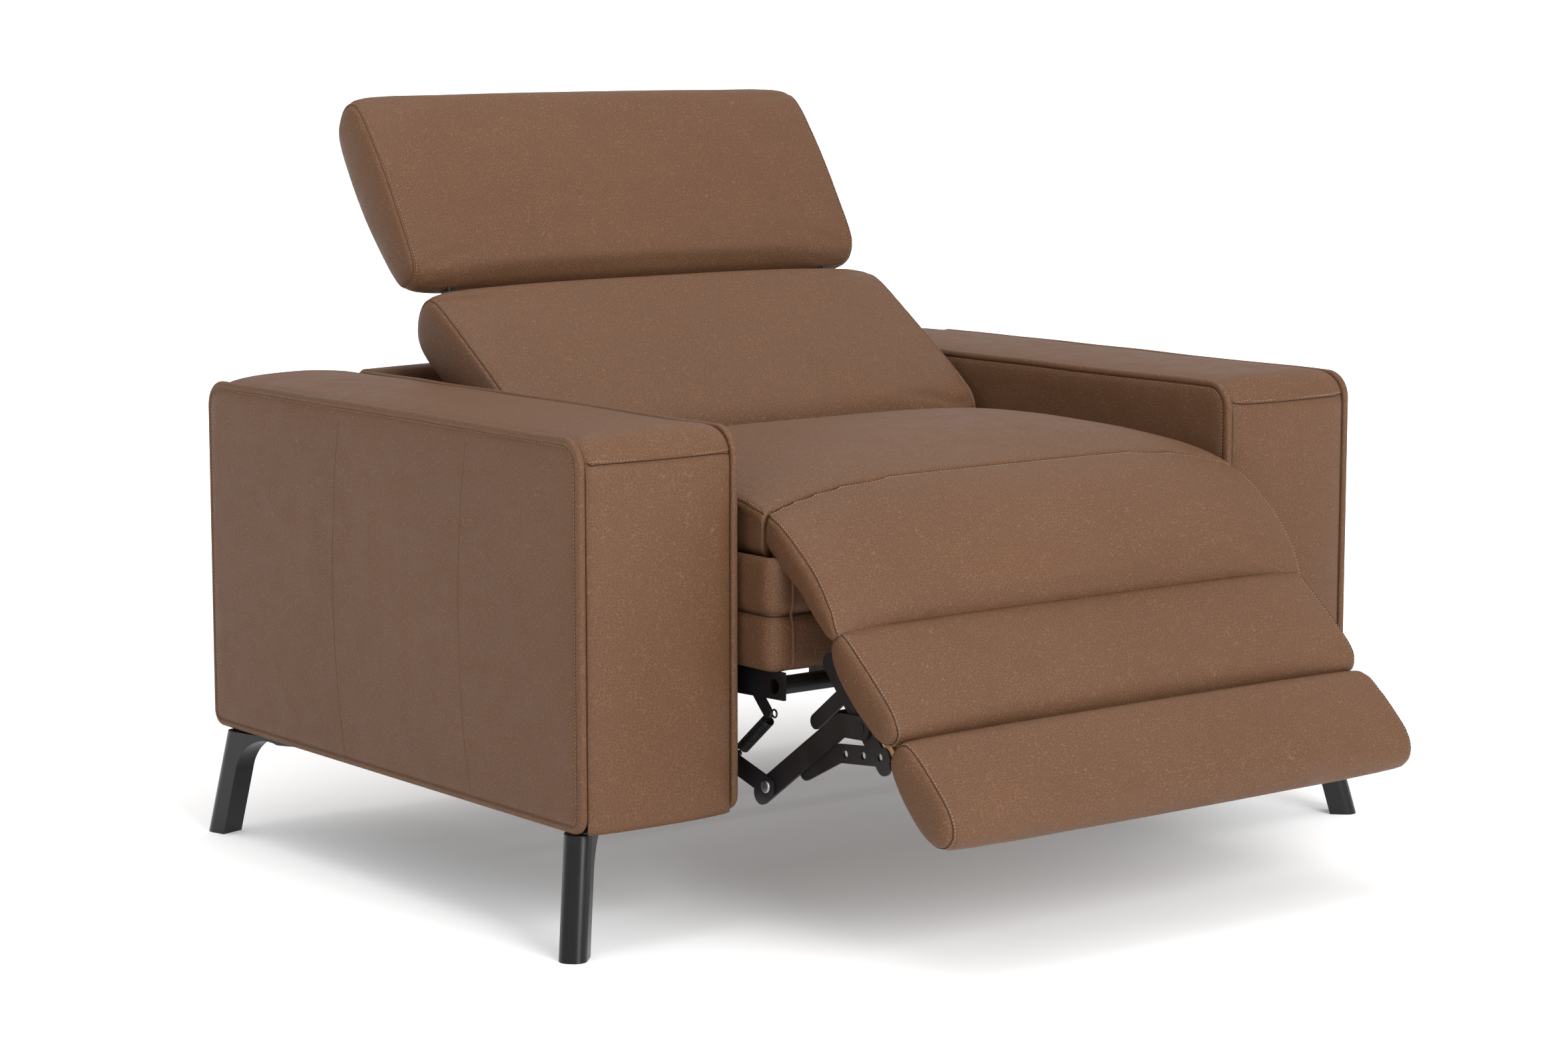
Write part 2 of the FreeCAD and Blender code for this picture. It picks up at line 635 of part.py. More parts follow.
def makeFootrestDrive():
    """Drive tube with its two cranks and yoke arm, the push links, and the motor's rod and yoke."""
    end = sidePlateOuter
    inside = driveTubeRadius - 1
    parts = [tube(crankPivot, driveTubeRadius, tubeWall, -end, end)]
    for side in (1, -1):
        ends = sorted((side * (crankLinkOuter - plateSteel), side * crankLinkOuter))
        crank = bar([crankPivot, crankElbow, pushJoint], linkWidth, *ends)
        pinEnds = sorted((side * (pushLinkOuter - plateSteel - 2), side * crankLinkOuter))
        hookEnds = sorted((side * (crankLinkOuter - 1), side * (crankLinkOuter - 14)))
        hook = cylinder(springBack, 3.0, *hookEnds)
        pin = cylinder(pushJoint, pinRadius, *pinEnds)
        parts += [drilled(crank, [crankPivot], inside, *ends), pin, hook]
    yokePin = shifted(crankPivot, (0.0, -crankArm))
    for side in (-1, 1):
        at = driveX + side * 14
        arm = bar([crankPivot, yokePin], 24.0, at - 2, at + 2)
        parts.append(drilled(arm, [crankPivot], inside, at - 3, at + 3))
    parts.append(cylinder(yokePin, 5.0, driveX - 16, driveX + 16))
    keep("drive_crank", parts[0].multiFuse(parts[1:]).removeSplitter())

    # The rod ends in a yoke whose upright slot leaves the crank's pin free to rise as it swings.
    front = yokePin[0] + 14
    rod = lengthwise(rodRadius, driveX, yokePin[1], front - 2, driveRodBack)
    yoke = block(driveX - 9, driveX + 9, yokePin[0] - 12, front, yokePin[1] - 14, yokePin[1] + 26)
    slot = block(driveX - 9, driveX + 9, yokePin[0] - 7, yokePin[0] + 7, yokePin[1] - 8, yokePin[1] + 20)
    keep("footrest_rod", rod.fuse(yoke).cut(slot).removeSplitter())

    ends = (pushLinkOuter - plateSteel, pushLinkOuter)
    tail = along(pushBend, pushJoint, 1.12)
    link = bar([tail, pushBend, pushPivot], linkWidth + 4, *ends)
    link = drilled(link, [pushJoint], pinRadius + openPivotFit, *ends)
    link = drilled(link, [pushPivot], pinRadius + runningFit, *ends)
    keep("push_links", *bothSides(link))
    spring = extensionSpring(springFront, springBack, crankLinkOuter - 8)
    keep("footrest_springs", *bothSides(spring))


def extensionSpring(front, back, x):
    """A close-wound coil between two hooks, from front to back in the plane at x."""
    length = hypot(back[0] - front[0], back[1] - front[1])
    coil = length * 0.7
    turns = round(coil / springPitch)
    helix = Part.makeHelix(springPitch, springPitch * turns, springRadius)
    start = Vector(springRadius, 0, 0)
    section = Part.Wire(Part.makeCircle(springThick / 2, start, Vector(0, 1, 0)))
    body = Part.Wire(helix).makePipeShell([section], True, True)
    gap = (length - springPitch * turns) / 2
    pieces = [body]
    for z, toward in ((0, -1), (springPitch * turns, 1)):
        base = Vector(0, 0, z)
        bridge = Part.makeCylinder(springThick / 2, springRadius, base, Vector(1, 0, 0))
        stem = Part.makeCylinder(springThick / 2, gap - 4, base, Vector(0, 0, toward))
        pieces += [bridge, stem, Part.makeSphere(springThick / 2, base)]
        centre = base + Vector(0, 0, toward * gap)
        pieces.append(Part.makeTorus(5.0, springThick / 2, centre, Vector(1, 0, 0)))
    whole = pieces[0].multiFuse(pieces[1:])
    whole.translate(Vector(0, 0, gap))
    slope = degrees(atan2(back[1] - front[1], back[0] - front[0]))
    whole.rotate(Vector(0, 0, 0), Vector(1, 0, 0), slope - 90)
    whole.translate(Vector(x, *front))
    return whole


def footrestPanel(start, end, trimStart, trimEnd):
    """One footrest section: a board along its back and a rounded pad in front of it."""
    first = along(start, end, trimStart)
    last = along(start, end, 1 - trimEnd)
    board = prism(strip(first, last, -padThickness + boardThickness, -padThickness),
                  -footHalfWidth + boardInset, footHalfWidth - boardInset)
    pad = prism(strip(first, last, 0, -padThickness + boardThickness), -footHalfWidth, footHalfWidth)
    return board, softened(pad, 10.0)


def makeFootrest():
    names = ("middle", "lower")
    for name, start, end in zip(names, (footJointA, footJointB), (footJointB, footTip)):
        board, pad = footrestPanel(start, end, 0.03, 0.03)
        keep("footrest_" + name + "_board", board)
        keep("footrest_" + name + "_pad", pad)
    # The upper section is a wedge: it runs out to nothing where it leaves the seat's edge.
    board = prism(strip(along(wedgeTop, wedgeLow, 0.12), along(wedgeTop, wedgeLow, 0.97), boardThickness, 0),
                  -footHalfWidth + boardInset, footHalfWidth - boardInset)
    pad = prism([footTop, along(footTop, footJointA, 0.45), shifted(footJointA, (1.0, 1.0)),
                 wedgeLow, wedgeTop], -footHalfWidth, footHalfWidth)
    pocket = prism(strip(wedgeTop, wedgeLow, boardThickness, -20), -footHalfWidth, footHalfWidth)
    # Its top is cut where the seat box would be if the footrest were raised.
    boxSpace = block(-boxHalfWidth, boxHalfWidth, seatBoxFront - boxClearance, cushionBack,
                     footrestPivot[1], overallWidth)
    boxSpace.rotate(Vector(0, *footrestPivot), Vector(1, 0, 0), raisedTurn)
    keep("footrest_upper_board", board)
    keep("footrest_upper_pad", pad.cut(pocket).cut(boxSpace))

    # Steel arms on the boards' backs carry the push link's pin and a drilled lug; a tube ties them.
    behind = -padThickness - 15
    spine = strip(footJointA, footJointB, behind, behind)[:2]
    lug = [shifted(footJointB, (46.0, -29.0)), lugElbow, lugEnd]
    arms = []
    for side in (1, -1):
        ends = sorted((side * (footArmOuter - plateSteel), side * footArmOuter))
        arm = bar([along(*spine, 0.02), along(*spine, 0.98)], 26.0, *ends)
        arm = arm.fuse(bar([along(*spine, 0.9)] + lug, 24.0, *ends))
        arm = arm.fuse(bar([along(*spine, 0.3), footTubeCentre], 20.0, *ends))
        holes = [along(lug[0], lug[1], share) for share in (0.08, 0.45, 0.85)]
        arm = drilled(arm, holes, 5.0, *ends)
        pinEnds = sorted((side * (footArmOuter - plateSteel), side * (pushLinkOuter + 1)))
        arms += [arm, cylinder(pushPivot, pinRadius, *pinEnds)]
    tie = tube(footTubeCentre, tubeRadius - 2, tubeWall, -footArmOuter + 1, footArmOuter - 1)
    whole = tie.multiFuse(arms).removeSplitter()
    for name in ("middle_board", "lower_board", "middle_pad", "lower_pad"):
        whole = whole.cut(placed("footrest_" + name))
    keep("footrest_arms", whole)

    hinges = []
    pins = []
    for x in (-hingeReach, hingeReach):
        ends = (x - hingeWidth / 2, x + hingeWidth / 2)
        strap = prism(strip(along(wedgeTop, wedgeLow, 0.05), along(wedgeTop, wedgeLow, 0.8), 0, -plateSteel),
                      *ends)
        knuckle = cylinder(footrestPivot, 9.0, *ends)
        neck = prism(strip(footrestPivot, along(wedgeTop, wedgeLow, 0.3), 3, -5), *ends)
        hinge = strap.multiFuse([knuckle, neck]).removeSplitter()
        hinge = hinge.cut(placed("footrest_upper_board")).cut(placed("footrest_upper_pad"))
        hinges.append(drilled(hinge, [footrestPivot], pinRadius, *ends))
        pins.append(cylinder(footrestPivot, pinRadius, ends[0] - 7, ends[1] + 7))
    keep("footrest_hinge_straps", *hinges)
    keep("footrest_hinge_pins", *pins)


def slab(start, angle, length, half, halfWidth):
    """A pad of even thickness with full-round ends, from start at an angle above horizontal."""
    end = shifted(start, (cos(radians(angle)) * length, sin(radians(angle)) * length))
    return bar([start, end], 2 * half, -halfWidth, halfWidth), end


def pocketFrame(start, end, halfWidth, thickness, rail):
    """A flat frame lying along start to end, with a window."""
    frame = prism(strip(start, end, thickness / 2, -thickness / 2), -halfWidth, halfWidth)
    length = hypot(end[0] - start[0], end[1] - start[1])
    inner = prism(strip(along(start, end, rail / length), along(start, end, 1 - rail / length),
                        thickness, -thickness), -halfWidth + rail, halfWidth - rail)
    return frame.cut(inner)


def makeBackrest():
    reach = backLength - backHalf
    pad, top = slab(backPivot, backAngle, reach, backHalf, padHalfWidth)
    pocketFoot = along(backPivot, top, -0.3)
    pocketTop = along(backPivot, top, 0.98)
    frameHalf = backBracketOuter - plateSteel - 5
    pocket = prism(strip(pocketFoot, pocketTop, 11, -11), -frameHalf - 2, frameHalf + 2)
    clear = along(backPivot, top, 0.28)
    notch = prism(strip(pocketFoot, clear, 2 * backHalf, -2 * backHalf), frameHalf - 8, padHalfWidth)
    slots = prism(strip(pocketFoot, along(backPivot, top, 0.7), 22, -22), frameHalf, backPlateOuter + 2)
    tops = prism(strip(along(backPivot, top, 0.6), along(backPivot, top, 1.3), 14, -30),
                 frameHalf - 40, frameHalf - 20)
    pad = pad.cut(pocket)
    for cutter in (notch, slots, tops):
        pad = pad.cut(cutter).cut(mirrored(cutter))
    keep("backrest_pad", pad)
    frame = pocketFrame(along(backPivot, top, 0.12), along(backPivot, top, 0.96), frameHalf, 18.0, 55.0)
    rail = frameHalf - 22

    # Side brackets turn on the carriage's pins; a lever ahead of the pivot takes the recline link.
    lever = shifted(backPivot, backLever)
    ends = (backBracketOuter - plateSteel, backBracketOuter)
    bracket = bar([lever, backPivot, along(backPivot, top, 0.6)], 26.0, *ends)
    bracket = drilled(bracket, [backPivot], pinRadius + runningFit, *ends)
    bracket = drilled(bracket, [lever], pinRadius + openPivotFit, *ends)
    spacer = prism(strip(along(backPivot, top, 0.3), along(backPivot, top, 0.6), 8, -8),
                   frameHalf, ends[0])
    keep("back_brackets", *bothSides(bracket.fuse(spacer).removeSplitter()))

    # Short arms on the frame's top carry the headrest's pins.
    armTopPoint = along(backPivot, top, 0.99)
    hinge = bar([along(backPivot, top, 0.75), armTopPoint, headrestPivot], 20.0, rail - plateSteel, rail)
    pin = cylinder(headrestPivot, pinRadius, rail - plateSteel, rail + plateGap + plateSteel + 1)
    groove = prism(strip(along(backPivot, top, 0.6), along(backPivot, top, 1.2), 12, -12),
                   rail - plateSteel, rail)
    frame = frame.cut(groove).cut(mirrored(groove))
    keep("backrest_frame", frame)
    keep("headrest_carriers", *bothSides(hinge.fuse(pin).removeSplitter()))

    # Recline links stand on the base rails and meet the levers.
    linkEnds = (reclineLinkOuter - plateSteel, reclineLinkOuter)
    link = bar([reclineLinkPivot, lever], 20.0, *linkEnds)
    link = drilled(link, [reclineLinkPivot], pinRadius + runningFit, *linkEnds)
    link = drilled(link, [lever], pinRadius - 1, *linkEnds)
    keep("recline_links", *bothSides(link))
    return rail


def makeHeadrest(rail):
    pad, top = slab(headrestFoot, headrestAngle, headrestLength - 2 * headrestHalf,
                    headrestHalf, padHalfWidth)
    foot = along(headrestFoot, top, -0.3)
    pocket = prism(strip(foot, along(headrestFoot, top, 0.95), 10, -10), -padHalfWidth + 40,
                   padHalfWidth - 40)
    slot = prism(strip(foot, along(headrestFoot, top, 0.45), 34, -18), rail - 8, rail + 10)
    pad = pad.cut(pocket).cut(slot).cut(mirrored(slot))
    keep("headrest_pad", pad)
    frame = pocketFrame(along(headrestFoot, top, 0.02), along(headrestFoot, top, 0.93),
                        padHalfWidth - 45, 16.0, 45.0)
    armEnds = (rail + plateGap, rail + plateGap + plateSteel)
    groove = prism(strip(foot, along(headrestFoot, top, 0.5), 20, -20), rail, armEnds[1])
    frame = frame.cut(groove).cut(mirrored(groove))
    keep("headrest_frame", frame)
    arm = bar([headrestPivot, along(headrestFoot, top, 0.02), along(headrestFoot, top, 0.4)],
              20.0, *armEnds)
    arm = drilled(arm, [headrestPivot], pinRadius + runningFit, *armEnds)
    keep("headrest_arms", *bothSides(arm.removeSplitter()))


os.makedirs("parts", exist_ok=True)
makeArmsAndLegs()
makeSwitch()
makeRearPanel()
makeBaseSteel()
makeSeat()
makeCarriageSteel()
makeFootrestDrive()
makeFootrest()
makeHeadrest(makeBackrest())
for name, shape in sorted(made.items()):
    print(name, len(shape.Solids), round(shape.Volume / 1000, 1), "cm3")
print(len(made), "nodes")
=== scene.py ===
import json
from math import atan2, copysign, cos, pi, radians, sin

import bmesh
import bpy
import numpy as np
from mathutils import Matrix, Vector, noise
from mathutils.bvhtree import BVHTree
from mathutils.kdtree import KDTree


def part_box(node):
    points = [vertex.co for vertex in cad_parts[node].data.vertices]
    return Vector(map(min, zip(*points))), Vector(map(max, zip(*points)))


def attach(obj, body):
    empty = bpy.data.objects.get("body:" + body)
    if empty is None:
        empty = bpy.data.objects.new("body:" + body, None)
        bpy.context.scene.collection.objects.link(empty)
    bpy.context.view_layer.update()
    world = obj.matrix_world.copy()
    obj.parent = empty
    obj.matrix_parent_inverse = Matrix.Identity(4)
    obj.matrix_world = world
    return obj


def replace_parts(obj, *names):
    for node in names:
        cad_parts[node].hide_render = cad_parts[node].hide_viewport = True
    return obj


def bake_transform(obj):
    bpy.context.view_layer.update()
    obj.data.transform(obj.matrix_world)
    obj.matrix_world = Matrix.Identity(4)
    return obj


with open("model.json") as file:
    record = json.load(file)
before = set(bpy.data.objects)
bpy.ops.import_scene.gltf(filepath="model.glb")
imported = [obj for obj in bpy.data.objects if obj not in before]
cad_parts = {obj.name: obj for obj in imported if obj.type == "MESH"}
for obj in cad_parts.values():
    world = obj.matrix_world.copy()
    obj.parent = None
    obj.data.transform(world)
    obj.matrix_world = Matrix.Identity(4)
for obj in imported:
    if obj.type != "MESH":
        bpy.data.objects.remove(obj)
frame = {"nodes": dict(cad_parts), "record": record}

# A wide leather recliner, part open. Metres, +Z up, -Y is the front of the chair.
scene = bpy.context.scene
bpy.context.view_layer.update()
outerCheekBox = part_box("right_arm_outer_cheek")
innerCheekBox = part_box("right_arm_inner_cheek")
armMiddle = (outerCheekBox[0].y + outerCheekBox[1].y) / 2
armTop = outerCheekBox[1].z


def linear(hexText):
    # sRGB hex to the linear colour that nodes take
    channels = [int(hexText[k:k + 2], 16) / 255 for k in (1, 3, 5)]
    return (*[c / 12.92 if c <= 0.04045 else ((c + 0.055) / 1.055) ** 2.4 for c in channels], 1)


def addNode(tree, kind, settings=None, links=None):
    node = tree.nodes.new(kind)
    for key, value in (settings or {}).items():
        if isinstance(key, str) and hasattr(node, key):
            setattr(node, key, value)
        else:
            node.inputs[key].default_value = value
    for key, source in (links or {}).items():
        tree.links.new(source, node.inputs[key])
    return node


def newMaterial(name, settings):
    # A material with its shader; settings go on the shader's own sockets.
    made = bpy.data.materials.new(name)
    made.use_nodes = True
    tree = made.node_tree
    shader = tree.nodes["Principled BSDF"]
    for key, value in settings.items():
        shader.inputs[key].default_value = value
    place = addNode(tree, "ShaderNodeTexCoord").outputs["Object"]
    return made, tree, shader, place


def ranged(tree, source, fromLow, fromHigh, toLow, toHigh):
    # Turns one range of a value into another, held at both ends.
    settings = {"From Min": fromLow, "From Max": fromHigh, "To Min": toLow, "To Max": toHigh}
    return addNode(tree, "ShaderNodeMapRange", settings, {"Value": source}).outputs["Result"]


def mixed(tree, share, first, second):
    # Mixes two colours, each a value or another node's output.
    node = addNode(tree, "ShaderNodeMix", {"data_type": "RGBA"}, {0: share})
    for socket, colour in ((6, first), (7, second)):
        if isinstance(colour, tuple):
            node.inputs[socket].default_value = colour
        else:
            tree.links.new(colour, node.inputs[socket])
    return node.outputs[2]


# Pebbled leather: semi-aniline hide, embossed with a fine pebble. Darker pebbles stand between
# lighter creases, the tone drifts over a hide and the finish is a soft sheen.
leatherLook = {
    "pebble": "#5c3f2b", "crease": "#74563f", "deep": "#543825", "pebbleMm": 4.0,
    "creaseShare": 0.045, "driftMm": 220, "roughness": 0.56, "smoother": 0.06, "rougher": 0.08,
    "bumpMm": 0.22, "warpScale": 55.0, "warpBy": 0.004, "patchScale": 28.0, "fineScale": 900.0,
    "lying": (0.82, 1.0, 1.12),  # pebbles lie a little wider than they are high
}


def pebbledLeather(name, look):
    made, tree, shader, place = newMaterial(name, {
        "Specular IOR Level": 0.26, "Sheen Weight": 0.03, "Sheen Roughness": 0.4, "IOR": 1.46,
        "Sheen Tint": linear("#d9b9a2")})
    warp = addNode(tree, "ShaderNodeTexNoise", {"Scale": look["warpScale"], "Detail": 2.0},
                   {"Vector": place})
    shift = addNode(tree, "ShaderNodeVectorMath",
                    {"operation": "MULTIPLY_ADD", 1: (look["warpBy"],) * 3},
                    {0: warp.outputs["Color"], 2: place})
    lying = addNode(tree, "ShaderNodeMapping", {"Scale": look["lying"]},
                    {"Vector": shift.outputs[0]})
    pebble = addNode(tree, "ShaderNodeTexVoronoi",
                     {"feature": "DISTANCE_TO_EDGE", "Scale": 1000 / look["pebbleMm"]},
                     {"Vector": lying.outputs[0]})
    edge = pebble.outputs["Distance"]
    patch = addNode(tree, "ShaderNodeTexNoise", {"Scale": look["patchScale"], "Detail": 3.0},
                    {"Vector": place})
    drift = addNode(tree, "ShaderNodeTexNoise", {"Scale": 1000 / look["driftMm"], "Detail": 2.0},
                    {"Vector": place})
    fine = addNode(tree, "ShaderNodeTexNoise", {"Scale": look["fineScale"], "Detail": 2.0},
                   {"Vector": place})
    crease = ranged(tree, edge, 0.0, look["creaseShare"] * 2, 1.0, 0.0)
    strength = ranged(tree, patch.outputs["Fac"], 0.3, 0.7, 0.5, 0.9)
    lines = addNode(tree, "ShaderNodeMath", {"operation": "MULTIPLY"}, {0: crease, 1: strength})
    tone = ranged(tree, drift.outputs["Fac"], 0.3, 0.7, 0.1, 0.6)
    base = mixed(tree, tone, linear(look["pebble"]), linear(look["deep"]))
    colour = mixed(tree, lines.outputs[0], base, linear(look["crease"]))
    tree.links.new(colour, shader.inputs["Base Color"])
    rough = ranged(tree, patch.outputs["Fac"], 0.3, 0.7,
                   look["roughness"] - look["smoother"], look["roughness"] + look["rougher"])
    tree.links.new(rough, shader.inputs["Roughness"])
    dome = ranged(tree, edge, 0.0, 0.22, 0.0, 1.0)
    height = addNode(tree, "ShaderNodeMath", {"operation": "MULTIPLY_ADD", 1: 0.18},
                     {0: fine.outputs["Fac"], 2: dome})
    bump = addNode(tree, "ShaderNodeBump", {"Strength": 0.55, "Distance": look["bumpMm"] / 1000},
                   {"Height": height.outputs[0]})
    tree.links.new(bump.outputs[0], shader.inputs["Normal"])
    return made


def speckled(name, dark, light, settings, scale, rough, bumpMm, stretch=(1, 1, 1)):
    # A finish whose tone and roughness wander at one scale, with a fine relief.
    made, tree, shader, place = newMaterial(name, settings)
    lying = addNode(tree, "ShaderNodeMapping", {"Scale": stretch}, {"Vector": place})
    grain = addNode(tree, "ShaderNodeTexNoise", {"Scale": scale, "Detail": 4.0},
                    {"Vector": lying.outputs[0]})
    wide = addNode(tree, "ShaderNodeTexNoise", {"Scale": scale / 30, "Detail": 2.0},
                   {"Vector": place})
    share = addNode(tree, "ShaderNodeMath", {"operation": "MULTIPLY"},
                    {0: grain.outputs["Fac"], 1: wide.outputs["Fac"]})
    tone = ranged(tree, share.outputs[0], 0.15, 0.4, 0.0, 1.0)
    tree.links.new(mixed(tree, tone, linear(dark), linear(light)), shader.inputs["Base Color"])
    tree.links.new(ranged(tree, wide.outputs["Fac"], 0.3, 0.7, rough[0], rough[1]),
                   shader.inputs["Roughness"])
    bump = addNode(tree, "ShaderNodeBump", {"Strength": 0.5, "Distance": bumpMm / 1000},
                   {"Height": grain.outputs["Fac"]})
    tree.links.new(bump.outputs[0], shader.inputs["Normal"])
    return made


leather = pebbledLeather("pebbledLeather", leatherLook)
# Rolled edges: the same hide pulled tight over a cord, so the pebble is flatter and lighter.
rolledLeather = pebbledLeather("rolledLeather", {
    **leatherLook, "pebble": "#5e412d", "crease": "#70523d", "pebbleMm": 3.4, "bumpMm": 0.2})
# Seam shadow: painted shade, a dark and dull line laid in the groove where the folded edges of two
# hides meet.
seamShadow = speckled("seamShadow", "#2b1a11", "#3a2619", {"Specular IOR Level": 0.2},
                      400, (0.8, 0.9), 0.1)
# Bonded polyester thread, a shade lighter than the hide.
thread = speckled("polyesterThread", "#8f6f55", "#a98a6e", {"Specular IOR Level": 0.4},
                  1500, (0.5, 0.65), 0.1)
# Satin black lacquer over cast aluminium: smooth, with a soft broad highlight.
satinLacquer = speckled("satinBlackLacquer", "#09090a", "#101011",
                        {"Specular IOR Level": 0.35, "Coat Weight": 0.12, "Coat Roughness": 0.25},
                        350, (0.28, 0.36), 0.03)
# Black powder coat on pressed steel: a fine orange peel, faintly dusty.
powderCoat = speckled("blackPowderCoat", "#0b0b0c", "#1b1b1d", {"Specular IOR Level": 0.45},
                      420, (0.38, 0.5), 0.12)
# Zinc plate: bright bluish steel, dulled in patches.
zincPlate = speckled("zincPlate", "#8d9196", "#c4c7ca", {"Metallic": 1.0}, 260, (0.28, 0.42), 0.04)
# Oiled spring steel: dark, drawn along its length.
springSteel = speckled("oiledSpringSteel", "#1b1b1d", "#3a3a3d", {"Metallic": 0.8},
                       300, (0.32, 0.45), 0.05)
# Moulded ABS with a spark-eroded texture.
mouldedPlastic = speckled("mouldedABS", "#0f0f10", "#1d1d1f", {"Specular IOR Level": 0.45},
                          1200, (0.5, 0.6), 0.08)
# Natural nylon glide: off-white, slightly waxy.
nylon = speckled("naturalNylon", "#c9c2b2", "#ded8ca", {"Subsurface Weight": 0.05},
                 300, (0.4, 0.5), 0.04)
# Raw beech and ply: fine straight grain, sawn and unfinished.
beech = speckled("rawBeech", "#9a6f45", "#c79e6f", {"Specular IOR Level": 0.3},
                 120, (0.6, 0.75), 0.15, (0.12, 1.0, 1.0))
# Non-woven dust cloth under the arms.
dustCloth = speckled("nonWovenCloth", "#0c0c0c", "#242424", {"Sheen Weight": 0.1},
                     700, (0.85, 0.95), 0.2)

finishes = {
    "leather": leather, "timber": beech, "black_steel": powderCoat, "satin_black": satinLacquer,
    "bright_steel": zincPlate, "spring_steel": springSteel, "black_plastic": mouldedPlastic,
    "nylon": nylon, "dust_cloth": dustCloth,
}
for part in frame["record"]["subparts"]:
    node = frame["nodes"][part["node"]]
    if not node.material_slots:
        node.data.materials.append(None)
    for holder in node.material_slots:
        holder.material = finishes[part["material_slot"]]
print("materials on the frame")


def placed(points):
    # (y, z) in millimetres from the arms' middle and the floor, to metres in the chair's frame
    return [Vector((armMiddle + y / 1000, z / 1000)) for y, z in points]


def evenly(line, spacing, closed=False):
    # Points along a line at one spacing.
    points = np.array([tuple(p) for p in line] + ([tuple(line[0])] if closed else []))
    run = np.concatenate([[0], np.cumsum(np.linalg.norm(np.diff(points, axis=0), axis=1))])
    count = max(2, round(run[-1] / spacing))
    if closed:
        count = 4 * max(3, round(count / 4))
    stops = np.linspace(0, run[-1], count + 1)[:count if closed else None]
    return [Vector([np.interp(stop, run, column) for column in points.T]) for stop in stops]


def smoothed(loop, spacing):
    # Cuts a closed line's corners off twice and spaces its points evenly.
    for _ in range(2):
        following = loop[1:] + loop[:1]
        loop = [spot for a, b in zip(loop, following) for spot in (a.lerp(b, 0.25), a.lerp(b, 0.75))]
    return evenly(loop, spacing, True)


def outwardOf(outline):
    # The outward direction at each point of a closed outline.
    following = outline[1:] + outline[:1]
    area = sum(a.x * b.y - b.x * a.y for a, b in zip(outline, following))
    found = []
    for k, after in enumerate(following):
        along = after - outline[k - 1]
        found.append(Vector((along.y, -along.x)).normalized() * copysign(1, area))
    return found


def nearTree(points):
    tree = KDTree(len(points))
    for k, spot in enumerate(points):
        tree.insert(spot, k)
    tree.balance()
    return tree


def softShaded(mesh):
    mesh.polygons.foreach_set("use_smooth", [True] * len(mesh.polygons))


def linked(name, data):
    made = bpy.data.objects.new(name, data)
    scene.collection.objects.link(made)
    return made


def shown(name, bm, material):
    # Turns a finished bmesh into an object.
    mesh = bpy.data.meshes.new(name)
    bm.to_mesh(mesh)
    bm.free()
    mesh.materials.append(material)
    softShaded(mesh)
    return linked(name, mesh)


def applied(obj):
    # Makes the piece's modifiers its own mesh.
    bpy.context.view_layer.update()
    old = obj.data
    mesh = bpy.data.meshes.new_from_object(obj.evaluated_get(bpy.context.evaluated_depsgraph_get()))
    obj.modifiers.clear()
    obj.data = mesh
    bpy.data.meshes.remove(old)
    mesh.name = obj.name
    softShaded(mesh)
    return obj


def walled(obj):
    # Gives an open cover its thickness, inward.
    wall = obj.modifiers.new("wall", "SOLIDIFY")
    wall.thickness = 0.012
    wall.offset = -1
    return applied(obj)


def coordinates(mesh):
    found = np.zeros(len(mesh.vertices) * 3, np.float32)
    mesh.vertices.foreach_get("co", found)
    return found.reshape(-1, 3)


def putCoordinates(mesh, places):
    mesh.vertices.foreach_set("co", places.astype(np.float32).ravel())
    mesh.update()


def ride(obj, body):
    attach(obj, body)
    return obj


def cutAcross(bm, at, normal):
    bmesh.ops.bisect_plane(bm, geom=bm.verts[:] + bm.edges[:] + bm.faces[:], dist=1e-6,
                           plane_co=at, plane_no=normal)


def gridSpot(vert, columns, rows):
    # The column and row of a new grid's corner.
    return round((vert.co.x + 1) / 2 * (columns - 1)), round((vert.co.y + 1) / 2 * (rows - 1))


def cornersIn(outline, halfWidth, corner):
    # Gives a function that draws a pad's corners in: it is shorter along its length near its ends.
    drop, run = corner
    centre = sum(outline, Vector((0, 0))) / len(outline)
    tip = max(outline, key=lambda spot: (spot - centre).length)
    axis = (tip - centre).normalized()
    reach = (tip - centre).length

    def drawn(place):
        share = min(1, max(0, (abs(place.x) - halfWidth + run) / run))
        inward = drop * (1 - (1 - share * share) ** 0.5)
        level = (Vector(place.yz) - centre).dot(axis) / reach
        step = axis * (-copysign(inward, level) * abs(level) ** 1.5)
        return Vector((place.x, place.y + step.x, place.z + step.y))

    return drawn


